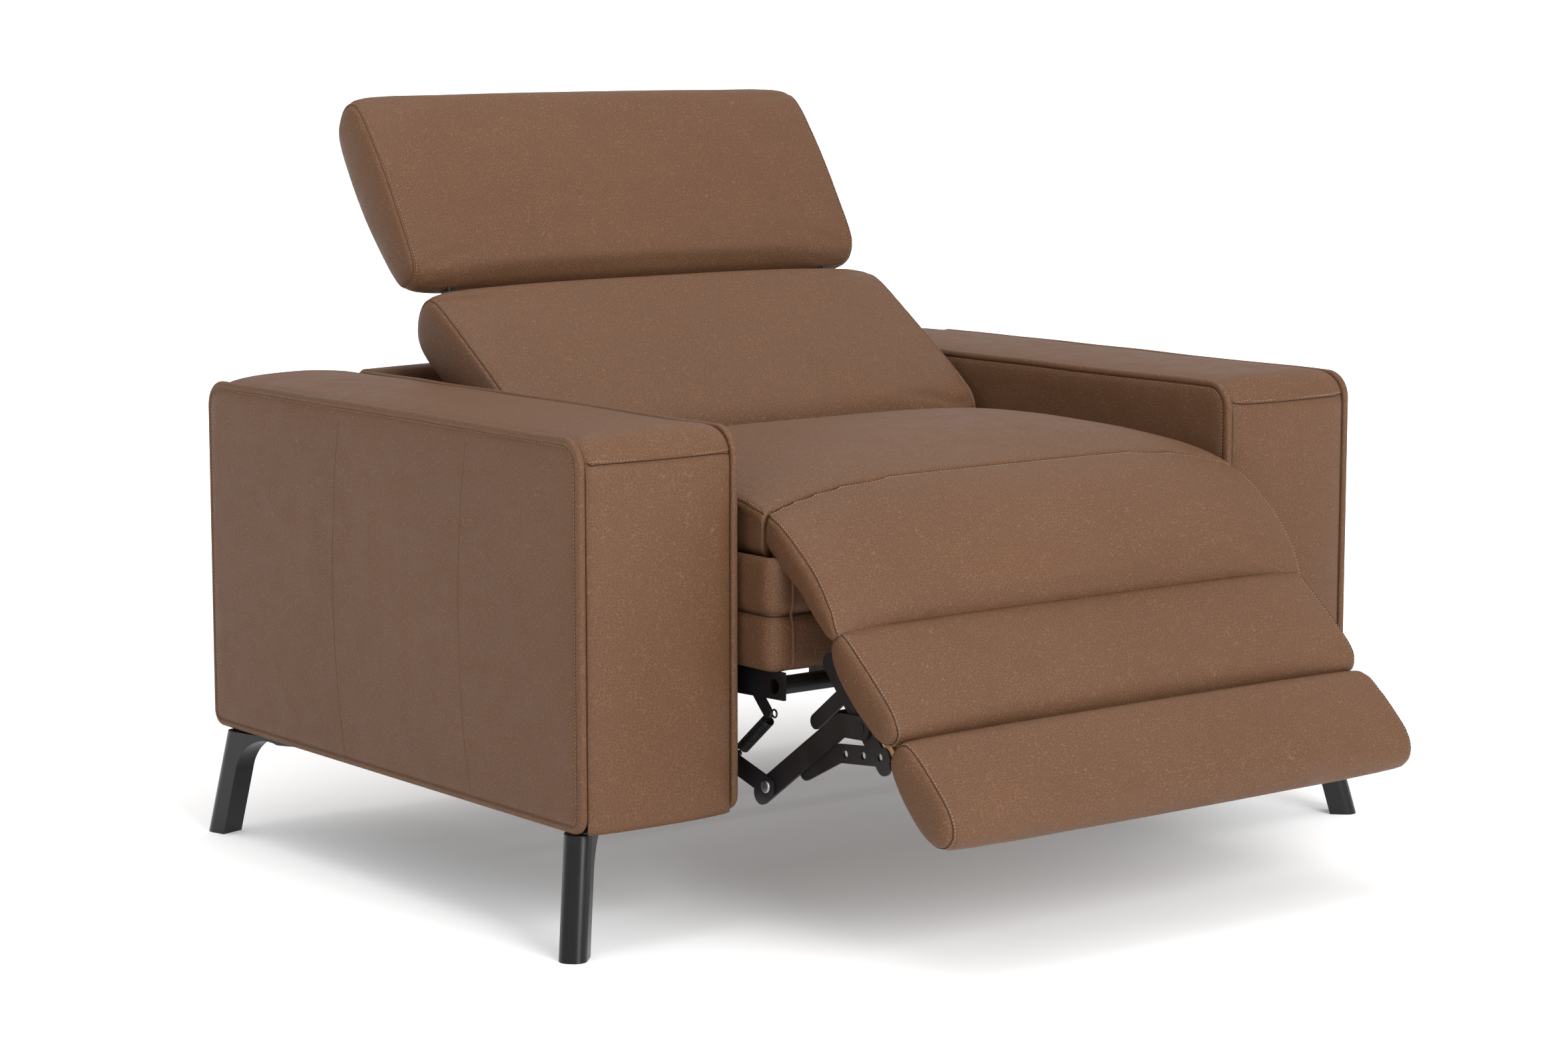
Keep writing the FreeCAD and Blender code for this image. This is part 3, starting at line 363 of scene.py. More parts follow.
def padForm(outline, halfWidth, crown, ends, endCrown):
    # A closed pad: an outline carried from side to side, fuller in the middle, with crowned ends.
    bm = bmesh.new()
    count = len(outline)
    bmesh.ops.create_cone(bm, cap_ends=True, segments=count, radius1=1, radius2=1, depth=2)
    for vert in bm.verts:
        turn = round(atan2(vert.co.y, vert.co.x) / (2 * pi) * count) % count
        vert.co = (copysign(halfWidth, vert.co.z), *outline[turn])
    inner = np.linspace(-halfWidth, halfWidth, 19)[1:-1]
    rim = halfWidth - np.array([0.004, 0.009, 0.016, 0.025, 0.035])
    for cut in (*inner, *rim, *-rim):
        cutAcross(bm, (cut, 0, 0), (1, 0, 0))
    bmesh.ops.recalc_face_normals(bm, faces=bm.faces)
    outward = outwardOf(outline)
    near = nearTree([(0, *spot) for spot in outline])
    for vert in bm.verts:
        share = abs(vert.co.x) / halfWidth
        step = outward[near.find((0, vert.co.y, vert.co.z))[1]]
        vert.co += Vector((0, *step)) * (crown + (ends - crown) * share ** 3)
    for side in (-1, 1):
        cap = max((f for f in bm.faces if f.normal.x * side > 0.9), key=lambda f: f.calc_area())
        for inset, depth in endCrown:
            bmesh.ops.inset_region(bm, faces=[cap], thickness=inset, depth=depth,
                                   use_even_offset=True)
    return bm


def stuffed(name, bm, voxel, cap, seams=(), hold=0.007):
    # Remeshes a closed form evenly, fills it like a cover over foam and holds its seams.
    obj = shown(name, bm, leather)
    even = obj.modifiers.new("even", "REMESH")
    even.mode = "VOXEL"
    even.voxel_size = voxel
    applied(obj)
    start = coordinates(obj.data)
    if seams:
        near = nearTree(seams)
        held = [k for k, place in enumerate(start) if near.find(place)[2] < hold]
        obj.vertex_groups.new(name="seams").add(held, 1.0, "REPLACE")
    cloth = obj.modifiers.new("stuffing", "CLOTH")
    cloth.settings.use_pressure = True
    cloth.settings.uniform_pressure_force = 4
    cloth.settings.effector_weights.gravity = 0
    if seams:
        cloth.settings.vertex_group_mass = "seams"
    for step in range(1, 21):
        scene.frame_set(step)
    filled = obj.evaluated_get(bpy.context.evaluated_depsgraph_get()).to_mesh()
    move = coordinates(filled) - start
    far = np.maximum(np.linalg.norm(move, axis=1), 1e-9)
    obj.modifiers.remove(cloth)
    putCoordinates(obj.data, start + move * np.minimum(1, cap / far)[:, None])
    scene.frame_set(1)
    smooth = obj.modifiers.new("settle", "SMOOTH")
    smooth.iterations = 3
    smooth.factor = 0.5
    finer = obj.modifiers.new("finer", "SUBSURF")
    finer.levels = finer.render_levels = 1
    applied(obj)
    obj.vertex_groups.clear()
    obj.data.materials.clear()
    obj.data.materials.append(leather)
    print("stuffed", name, len(obj.data.polygons), "faces")
    return obj


def creased(obj, points, width, depth):
    # Pulls the cover in along a seam.
    near = nearTree(points)
    obj.data.update()
    for vert in obj.data.vertices:
        far = near.find(vert.co)[2]
        if far < width:
            vert.co -= vert.normal * depth * (1 - (far / width) ** 2) ** 2
    obj.data.update()


def ontoSurface(obj, points, lift):
    # Moves points to the nearest place on the piece, and gives the surface's direction there.
    tree = BVHTree.FromObject(obj, bpy.context.evaluated_depsgraph_get())
    found = [tree.find_nearest(spot)[:2] for spot in points]
    return [place + normal * lift for place, normal in found], [normal for place, normal in found]


def pipe(name, points, radius, material, closed=False):
    # A round line through points, as a mesh.
    curve = bpy.data.curves.new(name, "CURVE")
    curve.dimensions = "3D"
    curve.bevel_depth = radius
    curve.bevel_resolution = 3
    curve.use_fill_caps = True
    line = curve.splines.new("POLY")
    line.points.add(len(points) - 1)
    for spot, place in zip(line.points, points):
        spot.co = (*place, 1)
    line.use_cyclic_u = closed
    guide = linked(name, curve)
    mesh = bpy.data.meshes.new_from_object(guide)
    bpy.data.objects.remove(guide)
    bpy.data.curves.remove(curve)
    mesh.materials.clear()
    mesh.materials.append(material)
    softShaded(mesh)
    return linked(name, mesh)


def seamLine(name, obj, points, radius, material, lift=0.0, closed=False):
    # A round line laid on a piece, along points near it.
    return pipe(name, ontoSurface(obj, points, lift)[0], radius, material, closed)


stitchLook = {"pitch": 0.0048, "length": 0.0032, "radius": 0.00055, "batch": 40}


def stitchedOn(threads, obj, points, closed=False):
    # Lays a row of stitches on a piece, along points near it, in batches that stay quick to make.
    spots = evenly(points, stitchLook["pitch"], closed)
    places, normals = ontoSurface(obj, spots, stitchLook["radius"] * 0.4)
    held = bpy.data.meshes.new("stitches")
    bm = bmesh.new()
    for k, (place, normal) in enumerate(zip(places, normals)):
        following = places[k + 1] if k + 1 < len(places) else 2 * place - places[k - 1]
        along = (following - place).normalized()
        across = normal.cross(along).normalized()
        basis = Matrix((along, across, along.cross(across))).transposed().to_4x4()
        thick = stitchLook["radius"]
        size = Matrix.Diagonal((stitchLook["length"] / 2, thick, thick, 1))
        bmesh.ops.create_uvsphere(bm, u_segments=6, v_segments=4, radius=1,
                                  matrix=Matrix.Translation(place) @ basis @ size)
        if k % stitchLook["batch"] == 0 or k == len(places) - 1:
            bm.to_mesh(held)
            threads.from_mesh(held)
            bm.clear()
    bm.free()
    bpy.data.meshes.remove(held)


def cornered(yLow, yHigh, zLow, zHigh, lowRadius, highRadius, steps=10):
    # A rounded rectangle's corners, anticlockwise seen from +X.
    loop = []
    for y, z, radius, start in ((yHigh, zLow, lowRadius, -90), (yHigh, zHigh, highRadius, 0),
                                (yLow, zHigh, highRadius, 90), (yLow, zLow, lowRadius, 180)):
        inY = y - copysign(radius, y - (yLow + yHigh) / 2)
        inZ = z - copysign(radius, z - (zLow + zHigh) / 2)
        for k in range(steps + 1):
            turn = radians(start + 90 * k / steps)
            loop.append(Vector((inY + radius * cos(turn), inZ + radius * sin(turn))))
    return loop


# Arms. Each arm has two cheeks, whose rolled rims stand proud of the band between them.
armLook = {
    "lowRadius": 0.022, "highRadius": 0.038, "rim": 0.0050, "bulge": 0.004, "wander": 0.0014,
    "bandCrown": 0.0085, "bandEdge": 0.0040, "roll": 0.011, "seamZ": 0.617, "seamDepth": 0.0018,
    "cheekSeams": (-215, 95), "seamBow": 22, "gap": 0.0012, "backRound": 0.004,
    # each step in from the rolled rim: the stitched valley beside it, then the cheek's first swell
    "rimSteps": ((0.0025, 0.0004), (0.0012, -0.0008), (0.0010, -0.0012), (0.0010, 0.0),
                 (0.0012, 0.0010), (0.0030, 0.0010), (0.0050, 0.0008)),
    "stitchIn": 0.0062, "stitchUp": 0.0045, "seamLine": 0.0007,
}


def wander(y, side):
    # The slow waviness of the arm's top line.
    return armLook["wander"] * noise.noise(Vector((y * 7, side * 3.1, 0.4)))


def armCheek(name, xHidden, xShown, replaced):
    low, high = outerCheekBox
    outline = cornered(low.y, high.y, low.z, high.z, armLook["lowRadius"], armLook["highRadius"])
    facing = copysign(1, xShown - xHidden)
    bm = bmesh.new()
    ring = bmesh.ops.create_circle(bm, cap_ends=True, segments=len(outline), radius=1)["verts"]
    for vert, spot in zip(ring, outline):
        vert.co = (xHidden, *spot)
    made = bmesh.ops.extrude_face_region(bm, geom=bm.faces[:])["geom"]
    front = [v for v in made if isinstance(v, bmesh.types.BMVert)]
    for vert in front:
        vert.co.x = xShown
    bmesh.ops.recalc_face_normals(bm, faces=bm.faces)
    for x, offset, segments in ((xShown, armLook["rim"], 5), (xHidden, armLook["backRound"], 4)):
        rim = [e for e in bm.edges if all(abs(v.co.x - x) < 1e-6 for v in e.verts)]
        bmesh.ops.bevel(bm, geom=rim, offset=offset, segments=segments, profile=0.5,
                        affect="EDGES", material=-1)
    face = max((f for f in bm.faces if f.normal.x * facing > 0.99), key=lambda f: f.calc_area())
    for inset, depth in armLook["rimSteps"]:
        bmesh.ops.inset_region(bm, faces=[face], thickness=inset, depth=depth,
                               use_even_offset=True)
    middle = (low + high) / 2
    for axis, count in ((1, 26), (2, 14)):
        for cut in np.linspace(low[axis], high[axis], count + 1)[1:-1]:
            at, normal = Vector(middle), Vector((0, 0, 0))
            at[axis] = cut
            normal[axis] = 1
            cutAcross(bm, at, normal)
    half = (high - low) / 2
    for vert in bm.verts:
        u = (vert.co.y - middle.y) / half.y
        v = (vert.co.z - middle.z) / half.z
        if abs(vert.co.x - xShown) < 0.004:
            swell = max(0, 1 - u ** 6) * max(0, 1 - v ** 6)
            drift = noise.noise(Vector((u * 2.3, v * 1.7, xShown * 9)))
            vert.co.x += facing * (armLook["bulge"] * swell + 0.0012 * drift * swell)
        if v > 0.5:
            vert.co.z += wander(vert.co.y, copysign(1, xShown)) * (v - 0.5) * 2
    made = shown(name, bm, leather)
    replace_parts(ride(made, "base"), replaced)
    return made


def armPath():
    # The band's line over front, top and back, with each point's outward direction.
    low, high = outerCheekBox
    outline = cornered(low.y, high.y, low.z - 0.1, high.z - 0.002, 0.01, armLook["highRadius"], 14)
    kept = [p for p in outline if p.y > low.z + 0.002]
    line = [Vector((high.y, low.z + 0.0005))] + kept + [Vector((low.y, low.z + 0.0005))]
    return evenly(line, 0.0075)


def armBand(name, side, replaced):
    path = armPath()
    seams = []
    for way in (1, -1):
        order = path if way == 1 else path[::-1]
        crossing = next(k for k, p in enumerate(order) if p.y > armLook["seamZ"])
        seams.append(order[crossing].x)
    extra = [Vector((y, armLook["seamZ"] + step)) for y in seams
             for step in (-0.0035, -0.002, -0.0008, 0, 0.0008, 0.002, 0.0035)]
    plain = [p for p in path if abs(p.y - armLook["seamZ"]) > 0.006]
    backward = sorted([p for p in plain + extra if p.x > armMiddle and p.y < armTop - 0.005],
                      key=lambda p: p.y)
    over = [p for p in plain if p.y >= armTop - 0.005]
    forward = sorted([p for p in plain + extra if p.x < armMiddle and p.y < armTop - 0.005],
                     key=lambda p: -p.y)
    line = backward + over + forward
    inner = innerCheekBox[0].x + armLook["roll"] + armLook["gap"]
    outer = outerCheekBox[1].x - armLook["roll"] - armLook["gap"]
    edgeStops = np.array([0.85, 0.92, 0.96, 0.985, 1])
    stops = np.array([*-edgeStops[::-1], *np.linspace(-0.75, 0.75, 11), *edgeStops])
    bm = bmesh.new()
    bmesh.ops.create_grid(bm, x_segments=len(stops) - 1, y_segments=len(line) - 1, size=1)
    for vert in bm.verts:
        column, row = gridSpot(vert, len(stops), len(line))
        spot = line[row]
        along = line[min(row + 1, len(line) - 1)] - line[max(row - 1, 0)]
        out = Vector((along.y, -along.x)).normalized()
        share = stops[column]
        rise = armLook["bandCrown"] * (1 - abs(share) ** 2.6) - armLook["bandEdge"] * abs(share) ** 14
        if spot.y < armTop - 0.01:
            rise -= armLook["seamDepth"] * max(0, 1 - (abs(spot.y - armLook["seamZ"]) / 0.003) ** 2)
        rise += 0.0012 * noise.noise(Vector((share * 1.4, spot.x * 5, spot.y * 5 + side)))
        y, z = spot + out * rise
        x = inner + (outer - inner) * (share + 1) / 2
        vert.co = (side * x, y, z + wander(y, side) * (z > 0.6))
    bm.normal_update()
    bm.faces.ensure_lookup_table()
    if bm.faces[0].normal.y < 0:
        bmesh.ops.reverse_faces(bm, faces=bm.faces)
    made = walled(shown(name, bm, leather))
    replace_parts(ride(made, "base"), replaced)
    return made


def armPieces(sideName, side, threads):
    outerX = outerCheekBox[1].x - armLook["roll"], outerCheekBox[1].x
    innerX = innerCheekBox[0].x + armLook["roll"], innerCheekBox[0].x
    outer = armCheek(sideName + "ArmOuterCheek", side * outerX[0], side * outerX[1],
                     sideName + "_arm_outer_cheek")
    inner = armCheek(sideName + "ArmInnerCheek", side * innerX[0], side * innerX[1],
                     sideName + "_arm_inner_cheek")
    band = armBand(sideName + "ArmBand", side, sideName + "_arm_band")
    low, high = outerCheekBox
    # Stitches run in the valley beside each rolled rim, and above the seam across the band.
    inset = armLook["rim"] + armLook["stitchIn"]
    for cheek, x in ((outer, outerX[1]), (inner, innerX[1])):
        loop = cornered(low.y + inset, high.y - inset, low.z + inset, high.z - inset,
                        armLook["lowRadius"] - 0.008, armLook["highRadius"] - inset)
        run = [Vector((side * x, *spot)) for spot in loop[4:-4]]
        stitchedOn(threads, cheek, run)
    # Two bowed seams down the outer cheek.
    for k, at in enumerate(armLook["cheekSeams"]):
        bow = []
        for z in range(168, 636, 12):
            y = at + armLook["seamBow"] * (1 - ((z - 400) / 235) ** 2)
            bow.append(Vector((side * outerX[1], armMiddle + y / 1000, z / 1000)))
        label = sideName + "CheekSeam" + str(k + 1)
        line = seamLine(label, outer, evenly(bow, 0.008), armLook["seamLine"], rolledLeather, -0.0002)
        ride(line, "base")
    for y, label in ((low.y, "Front"), (high.y, "Back")):
        row = [Vector((side * x, y, armLook["seamZ"] + armLook["stitchUp"])) for x in
               np.linspace(innerX[0] + 0.006, outerX[0] - 0.006, 30)]
        stitchedOn(threads, band, row)
        groove = [Vector((side * x, y, armLook["seamZ"])) for x in
                  np.linspace(innerX[0] + 0.002, outerX[0] - 0.002, 30)]
        label = sideName + "BandSeam" + label
        ride(seamLine(label, band, groove, armLook["seamLine"], seamShadow), "base")


armThreads = bmesh.new()
armPieces("left", -1, armThreads)
armPieces("right", 1, armThreads)
ride(shown("armStitches", armThreads, thread), "base")
print("arms")


# Fixed panel behind the back, between the arms.
rearLook = {"top": 0.651, "bottom": 0.182, "lowRadius": 0.006, "highRadius": 0.016,
            "stitchRows": (0.636, 0.196), "stitchHalf": 0.415}
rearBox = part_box("rear_panel")
outline = cornered(rearBox[0].y + 0.002, rearBox[1].y - 0.002, rearLook["bottom"], rearLook["top"],
                   rearLook["lowRadius"], rearLook["highRadius"])
rearForm = padForm(evenly(outline, 0.008, True), rearBox[1].x - 0.003, 0.003, -0.001,
                   ((0.006, 0.001),))
rearPanel = shown("rearPanelCover", rearForm, leather)
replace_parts(ride(rearPanel, "base"), "rear_panel")
rearThreads = bmesh.new()
half = rearLook["stitchHalf"]
for z in rearLook["stitchRows"]:
    row = [Vector((x, rearBox[1].y, z)) for x in np.linspace(-half, half, 60)]
    stitchedOn(rearThreads, rearPanel, row)
ride(shown("rearPanelStitches", rearThreads, thread), "base")
print("rear panel")


# Seat box: a U of two padded tiers round the carriage, welted down its front corners.
boxLook = {"pillow": 0.0035, "groove": 0.0035, "seamZ": 0.413, "corner": 0.016, "weltX": 0.388,
           "welt": 0.0024, "lip": 0.006, "seamLine": 0.0009}
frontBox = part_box("seat_box_front_panel")
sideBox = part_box("seat_box_right_panel")


def boxPath():
    # The plan of the box's outer face, from the back of one side round the front to the other.
    x, front, back = frontBox[1].x, frontBox[0].y, sideBox[1].y
    radius = boxLook["corner"]
    middle = Vector((x - radius, front + radius))
    corner = [middle + radius * Vector((cos(radians(t)), -sin(radians(t)))) for t in range(0, 91, 10)]
    right = [Vector((x, back))] + corner
    return evenly(right + [Vector((-p.x, p.y)) for p in right[::-1]], 0.007)


def seatBoxCover():
    path = boxPath()
    low, high, seam = frontBox[0].z, frontBox[1].z, boxLook["seamZ"]
    besideSeam = [seam + s for s in (-0.003, -0.0015, 0, 0.0015, 0.003)]
    levels = sorted([*np.linspace(low, high, 22), *besideSeam,
                     low + 0.0015, low + 0.004, high - 0.0015])
    bm = bmesh.new()
    bmesh.ops.create_grid(bm, x_segments=len(path) - 1, y_segments=len(levels) - 1, size=1)
    for vert in bm.verts:
        column, row = gridSpot(vert, len(path), len(levels))
        spot, z = path[column], levels[row]
        along = path[min(column + 1, len(path) - 1)] - path[max(column - 1, 0)]
        out = Vector((-along.y, along.x)).normalized()
        tier = (z - low) / (seam - low) if z < seam else (z - seam) / (high - seam)
        rise = boxLook["pillow"] * (1 - abs(2 * tier - 1) ** 4)
        rise -= boxLook["groove"] * max(0, 1 - (abs(z - seam) / 0.0045) ** 2)
        rise -= boxLook["lip"] * max(0, 1 - (z - low) / 0.008) ** 2
        rise -= 0.003 * max(0, 1 - (high - z) / 0.006) ** 2
        if spot.y < frontBox[0].y + 0.002:
            rise -= 0.0025 * max(0, 1 - (abs(abs(spot.x) - boxLook["weltX"]) / 0.006) ** 2)
        rise += 0.0008 * noise.noise(Vector((spot.x * 6, spot.y * 6, z * 8)))
        spot = spot + out * rise * (1 if out.dot(spot - Vector((0, 0.1))) > 0 else -1)
        vert.co = (spot.x, spot.y, z)
    bm.normal_update()
    bm.faces.ensure_lookup_table()
    face = max(bm.faces, key=lambda f: -f.calc_center_median().y)
    if face.normal.y > 0:
        bmesh.ops.reverse_faces(bm, faces=bm.faces)
    return walled(shown("seatBoxCover", bm, leather))


seatBox = seatBoxCover()
boxPanels = ["seat_box_" + place + "_panel" for place in ("front", "left", "right")]
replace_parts(ride(seatBox, "seat_carriage"), *boxPanels)
for side, label in ((-1, "Left"), (1, "Right")):
    rise = [Vector((side * boxLook["weltX"], frontBox[0].y, z)) for z in
            np.linspace(frontBox[0].z + 0.004, frontBox[1].z - 0.002, 40)]
    welt = seamLine("seatBoxWelt" + label, seatBox, rise, boxLook["welt"], rolledLeather, 0.0004)
    ride(welt, "seat_carriage")
seamRun = [Vector((*spot, boxLook["seamZ"])) for spot in boxPath()]
tierSeam = seamLine("seatBoxTierSeam", seatBox, seamRun, boxLook["seamLine"], seamShadow)
ride(tierSeam, "seat_carriage")
print("seat box")


# Seat cushion: its top swells between the side seams and falls to the seam at the front.
cushionLook = {
    "middle": [(-488, 575), (-430, 591), (-357, 601), (-250, 605), (-150, 601), (-60, 588), (21, 566)],
    "edge": [(-488, 540), (-444, 552), (-415, 556), (-300, 557), (-150, 557), (21, 555)],
    "half": 0.413, "bottom": 0.480, "power": 4.4, "voxel": 0.008, "cap": 0.006, "sideSwell": 0.0035,
    "seamLine": 0.0006,
}


def between(points, y):
    # The height of a measured line at y, in millimetres both.
    ordered = sorted(points)
    return float(np.interp(y, [p[0] for p in ordered], [p[1] for p in ordered]))


def seatTop(x, y):
    # The cushion's height at a place, in metres.
    at = (y - armMiddle) * 1000
    middle, edge = between(cushionLook["middle"], at), between(cushionLook["edge"], at)
    share = min(1, abs(x) / cushionLook["half"]) ** cushionLook["power"]
    return (middle + (edge - middle) * share) / 1000


def seatForm():
    bm = bmesh.new()
    bmesh.ops.create_cube(bm, size=2)
    bmesh.ops.subdivide_edges(bm, edges=bm.edges[:], cuts=31, use_grid_fill=True)
    front, back = armMiddle - 0.487, armMiddle + 0.020
    for vert in bm.verts:
        u, v, w = vert.co
        x = u * cushionLook["half"]
        y = front + (back - front) * (v + 1) / 2
        top = seatTop(x, y)
        z = cushionLook["bottom"] + (top - cushionLook["bottom"]) * (w + 1) / 2
        if abs(u) > 0.999:
            x += copysign(cushionLook["sideSwell"] * (1 - w ** 4), u)
        vert.co = (x, y, z)
    return bm


half = cushionLook["half"]
seatSides = {side: [Vector((side * half, y, seatTop(half, y))) for y in
                    np.linspace(armMiddle - 0.487, armMiddle + 0.015, 90)] for side in (-1, 1)}
frontSeam = [Vector((x, armMiddle - 0.488, seatTop(x, armMiddle - 0.488)))
             for x in np.linspace(-0.408, 0.408, 110)]
seat = stuffed("seatCushion", seatForm(), cushionLook["voxel"], cushionLook["cap"],
               seatSides[-1] + seatSides[1] + frontSeam)
ride(seat, "seat_carriage")
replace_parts(seat, "seat_cushion")
for side in (-1, 1):
    creased(seat, seatSides[side], 0.008, 0.002)
seatThreads = bmesh.new()
for side, label in ((-1, "Left"), (1, "Right")):
    line = seamLine("seatSideSeam" + label, seat, seatSides[side], cushionLook["seamLine"], seamShadow)
    ride(line, "seat_carriage")
    stitchedOn(seatThreads, seat, [p + Vector((-side * 0.003, 0, 0.002)) for p in seatSides[side]])
ride(shown("seatStitches", seatThreads, thread), "seat_carriage")
print("seat cushion")


# Upper footrest section: the seat's cover runs on over it.
upperLook = {
    "middle": [(-488, 575), (-520, 562), (-558, 539), (-595, 509),
               (-624, 476), (-644, 443), (-650, 422), (-640, 403)],
    "edge": [(-488, 540), (-515, 529), (-539, 513), (-563, 495),
             (-586, 475), (-604, 454), (-620, 431), (-632, 402)],
    "under": [(-478, 502), (-513, 471), (-532, 458), (-551, 445),
              (-569, 427), (-588, 409), (-603, 397), (-616, 387)],
    "half": 0.409, "voxel": 0.0065, "cap": 0.004, "power": 4.0, "sideSwell": 0.004,
    "seamLine": 0.0006, "crossSeamLine": 0.0005,
}


def upperPoint(x, share, depth):
    # A place in the section: share runs down it from the seat, depth from its face to its back.
    count = len(upperLook["middle"])
    stops = np.linspace(0, 1, count)
    spots = []
    for line in ("middle", "edge", "under"):
        values = np.array(upperLook[line], float)
        spots.append(np.array([np.interp(share, stops, values[:, k]) for k in (0, 1)]))
    wide = min(1, abs(x) / upperLook["half"]) ** upperLook["power"]
    face = spots[0] + (spots[1] - spots[0]) * wide
    y, z = face + (spots[2] - face) * depth
    return Vector((x, armMiddle + y / 1000, z / 1000))


def upperForm():
    bm = bmesh.new()
    bmesh.ops.create_cube(bm, size=2)
    bmesh.ops.subdivide_edges(bm, edges=bm.edges[:], cuts=27, use_grid_fill=True)
    for vert in bm.verts:
        u, v, w = vert.co
        place = upperPoint(u * upperLook["half"], (1 - v) / 2, (1 - w) / 2)
        if abs(u) > 0.999:
            place.x += copysign(upperLook["sideSwell"] * (1 - w ** 4) * (1 - v ** 4), u)
        vert.co = place
    bmesh.ops.recalc_face_normals(bm, faces=bm.faces)
    return bm


upperEdges = {side: [upperPoint(side * upperLook["half"], s, 0) for s in np.linspace(0, 1, 40)]
              for side in (-1, 1)}
upperSeam = [upperPoint(x, 0, 0) for x in np.linspace(-0.404, 0.404, 110)]
upperPad = stuffed("upperFootrestPad", upperForm(), upperLook["voxel"], upperLook["cap"],
                   upperEdges[-1] + upperEdges[1] + upperSeam)


def bends(obj):
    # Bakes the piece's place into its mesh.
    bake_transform(obj)
    return obj


creased(upperPad, upperEdges[-1] + upperEdges[1], 0.008, 0.0015)
upperThreads = bmesh.new()
for side, label in ((-1, "Left"), (1, "Right")):
    line = seamLine("upperPadSeam" + label, upperPad, upperEdges[side], upperLook["seamLine"],
                    seamShadow)
    bends(line)
    row = [upperPoint(side * (upperLook["half"] - 0.003), s, 0) for s in np.linspace(0.01, 0.99, 60)]
    stitchedOn(upperThreads, upperPad, row)
line = seamLine("seatFrontSeam", upperPad, upperSeam, upperLook["crossSeamLine"], seamShadow)
ride(line, "seat_carriage")
stitchedOn(upperThreads, upperPad, [p + Vector((0, -0.006, 0)) for p in upperSeam])
bends(shown("upperPadStitches", upperThreads, thread))
bends(upperPad)
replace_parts(upperPad, "footrest_upper_pad")
print("upper footrest section")


def sewnPad(name, look, body, replaced):
    # A pad with a sewn-in panel at each side: its outline is in millimetres about the arms' middle.
    outline = smoothed(placed(look["outline"]), 0.009)
    crown = look["crown"] - look["cap"] * 0.5  # the stuffing adds the rest
    form = padForm(outline, look["half"], crown, look["ends"], look["endCrown"])
    drawn = cornersIn(outline, look["half"], look["corner"])
    for vert in form.verts:
        vert.co = drawn(vert.co)
    rim = [spot + out * look["ends"] for spot, out in zip(outline, outwardOf(outline))]
    seamX = look["half"] - look["seamInset"]
    loops = {side: [drawn(Vector((side * seamX, *spot))) for spot in rim] for side in (-1, 1)}
    seams = evenly(loops[-1], 0.003, True) + evenly(loops[1], 0.003, True)
    made = stuffed(name, form, look["voxel"], look["cap"], seams, 0.006)
    threads = bmesh.new()
    for side, label in ((-1, "Left"), (1, "Right")):
        fineLoop = evenly(loops[side], 0.004, True)
        creased(made, fineLoop, 0.008, look["seamDepth"])
        # Thin welts are dark lines of painted seam shade; thicker ones are rolled leather.
        material = rolledLeather if look["welt"] > 0.0015 else seamShadow
        welt = seamLine(name + "Welt" + label, made, fineLoop, look["welt"], material,
                        look["welt"] * 0.3, True)
        ride(welt, body)
        row = [Vector((p.x - side * look["stitchInset"], p.y, p.z)) for p in loops[side]]
        stitchedOn(threads, made, row, True)
    ride(made, body)
    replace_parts(made, replaced)
    ride(shown(name + "Stitches", threads, thread), body)
    print(name)
    return made


middleLook = {
    "outline": [(-622, 410), (-633, 405), (-654, 388), (-691, 356), (-727, 324), (-741, 303),
                (-743, 288), (-734, 277), (-713, 274), (-694, 286), (-655, 318), (-629, 345),
                (-610, 373), (-608, 397)],
    "half": 0.404, "crown": 0.010, "ends": 0.001, "endCrown": ((0.006, 0.003), (0.008, 0.002)),
    "seamInset": 0.003, "seamDepth": 0.0015, "welt": 0.0006, "stitchInset": 0.0028,
    "voxel": 0.0065, "cap": 0.005, "fill": 0.75, "corner": (0.007, 0.020),
}
lowerLook = {
    **middleLook,
    "outline": [(-741, 286), (-728, 277), (-722, 258), (-750, 216), (-784, 182), (-814, 164),
                (-836, 166), (-850, 184), (-842, 212), (-810, 244), (-773, 277), (-754, 288)],
}
backLook = {
    "outline": [(40, 556), (44, 582), (68, 604), (128, 648), (188, 689), (272, 747), (302, 763),
                (320, 763), (337, 746), (343, 718), (332, 695), (304, 671), (270, 650), (200, 598),
                (130, 545), (90, 514), (64, 508), (45, 522)],
    "half": 0.405, "crown": 0.015, "ends": 0.004, "endCrown": ((0.008, 0.004), (0.012, 0.003)),
    "seamInset": 0.003, "seamDepth": 0.002, "welt": 0.0018, "stitchInset": 0.0032, "voxel": 0.007,
    "cap": 0.005, "fill": 0.8, "corner": (0.018, 0.045),
}
headLook = {
    **backLook, "crown": 0.014, "ends": 0.006,
    "outline": [(339, 792), (349, 817), (380, 867), (419, 931), (462, 990), (489, 1024), (510, 1038),
                (532, 1030), (546, 1003), (532, 965), (474, 874), (423, 816), (382, 773), (364, 763),
                (347, 771)],
}
sewnPad("middleFootrestPad", middleLook, "footrest", "footrest_middle_pad")
sewnPad("lowerFootrestPad", lowerLook, "footrest", "footrest_lower_pad")
sewnPad("backrestPad", backLook, "backrest", "backrest_pad")
sewnPad("headrestPad", headLook, "headrest", "headrest_pad")


# Rivets and bolt heads on the linkage, one for each pivot.
rivetLook = {
    "radius": 0.0085, "rise": 0.003,
    # name, x, y and z in millimetres, body
    "pivots": (("linkRivetFoot", 391.0, -662, 290, "push_links"),
               ("linkRivetCrank", 400.0, -477, 186, "drive_crank"),
               ("plateRivetFront", 405.0, -345, 336, "seat_carriage")),
}


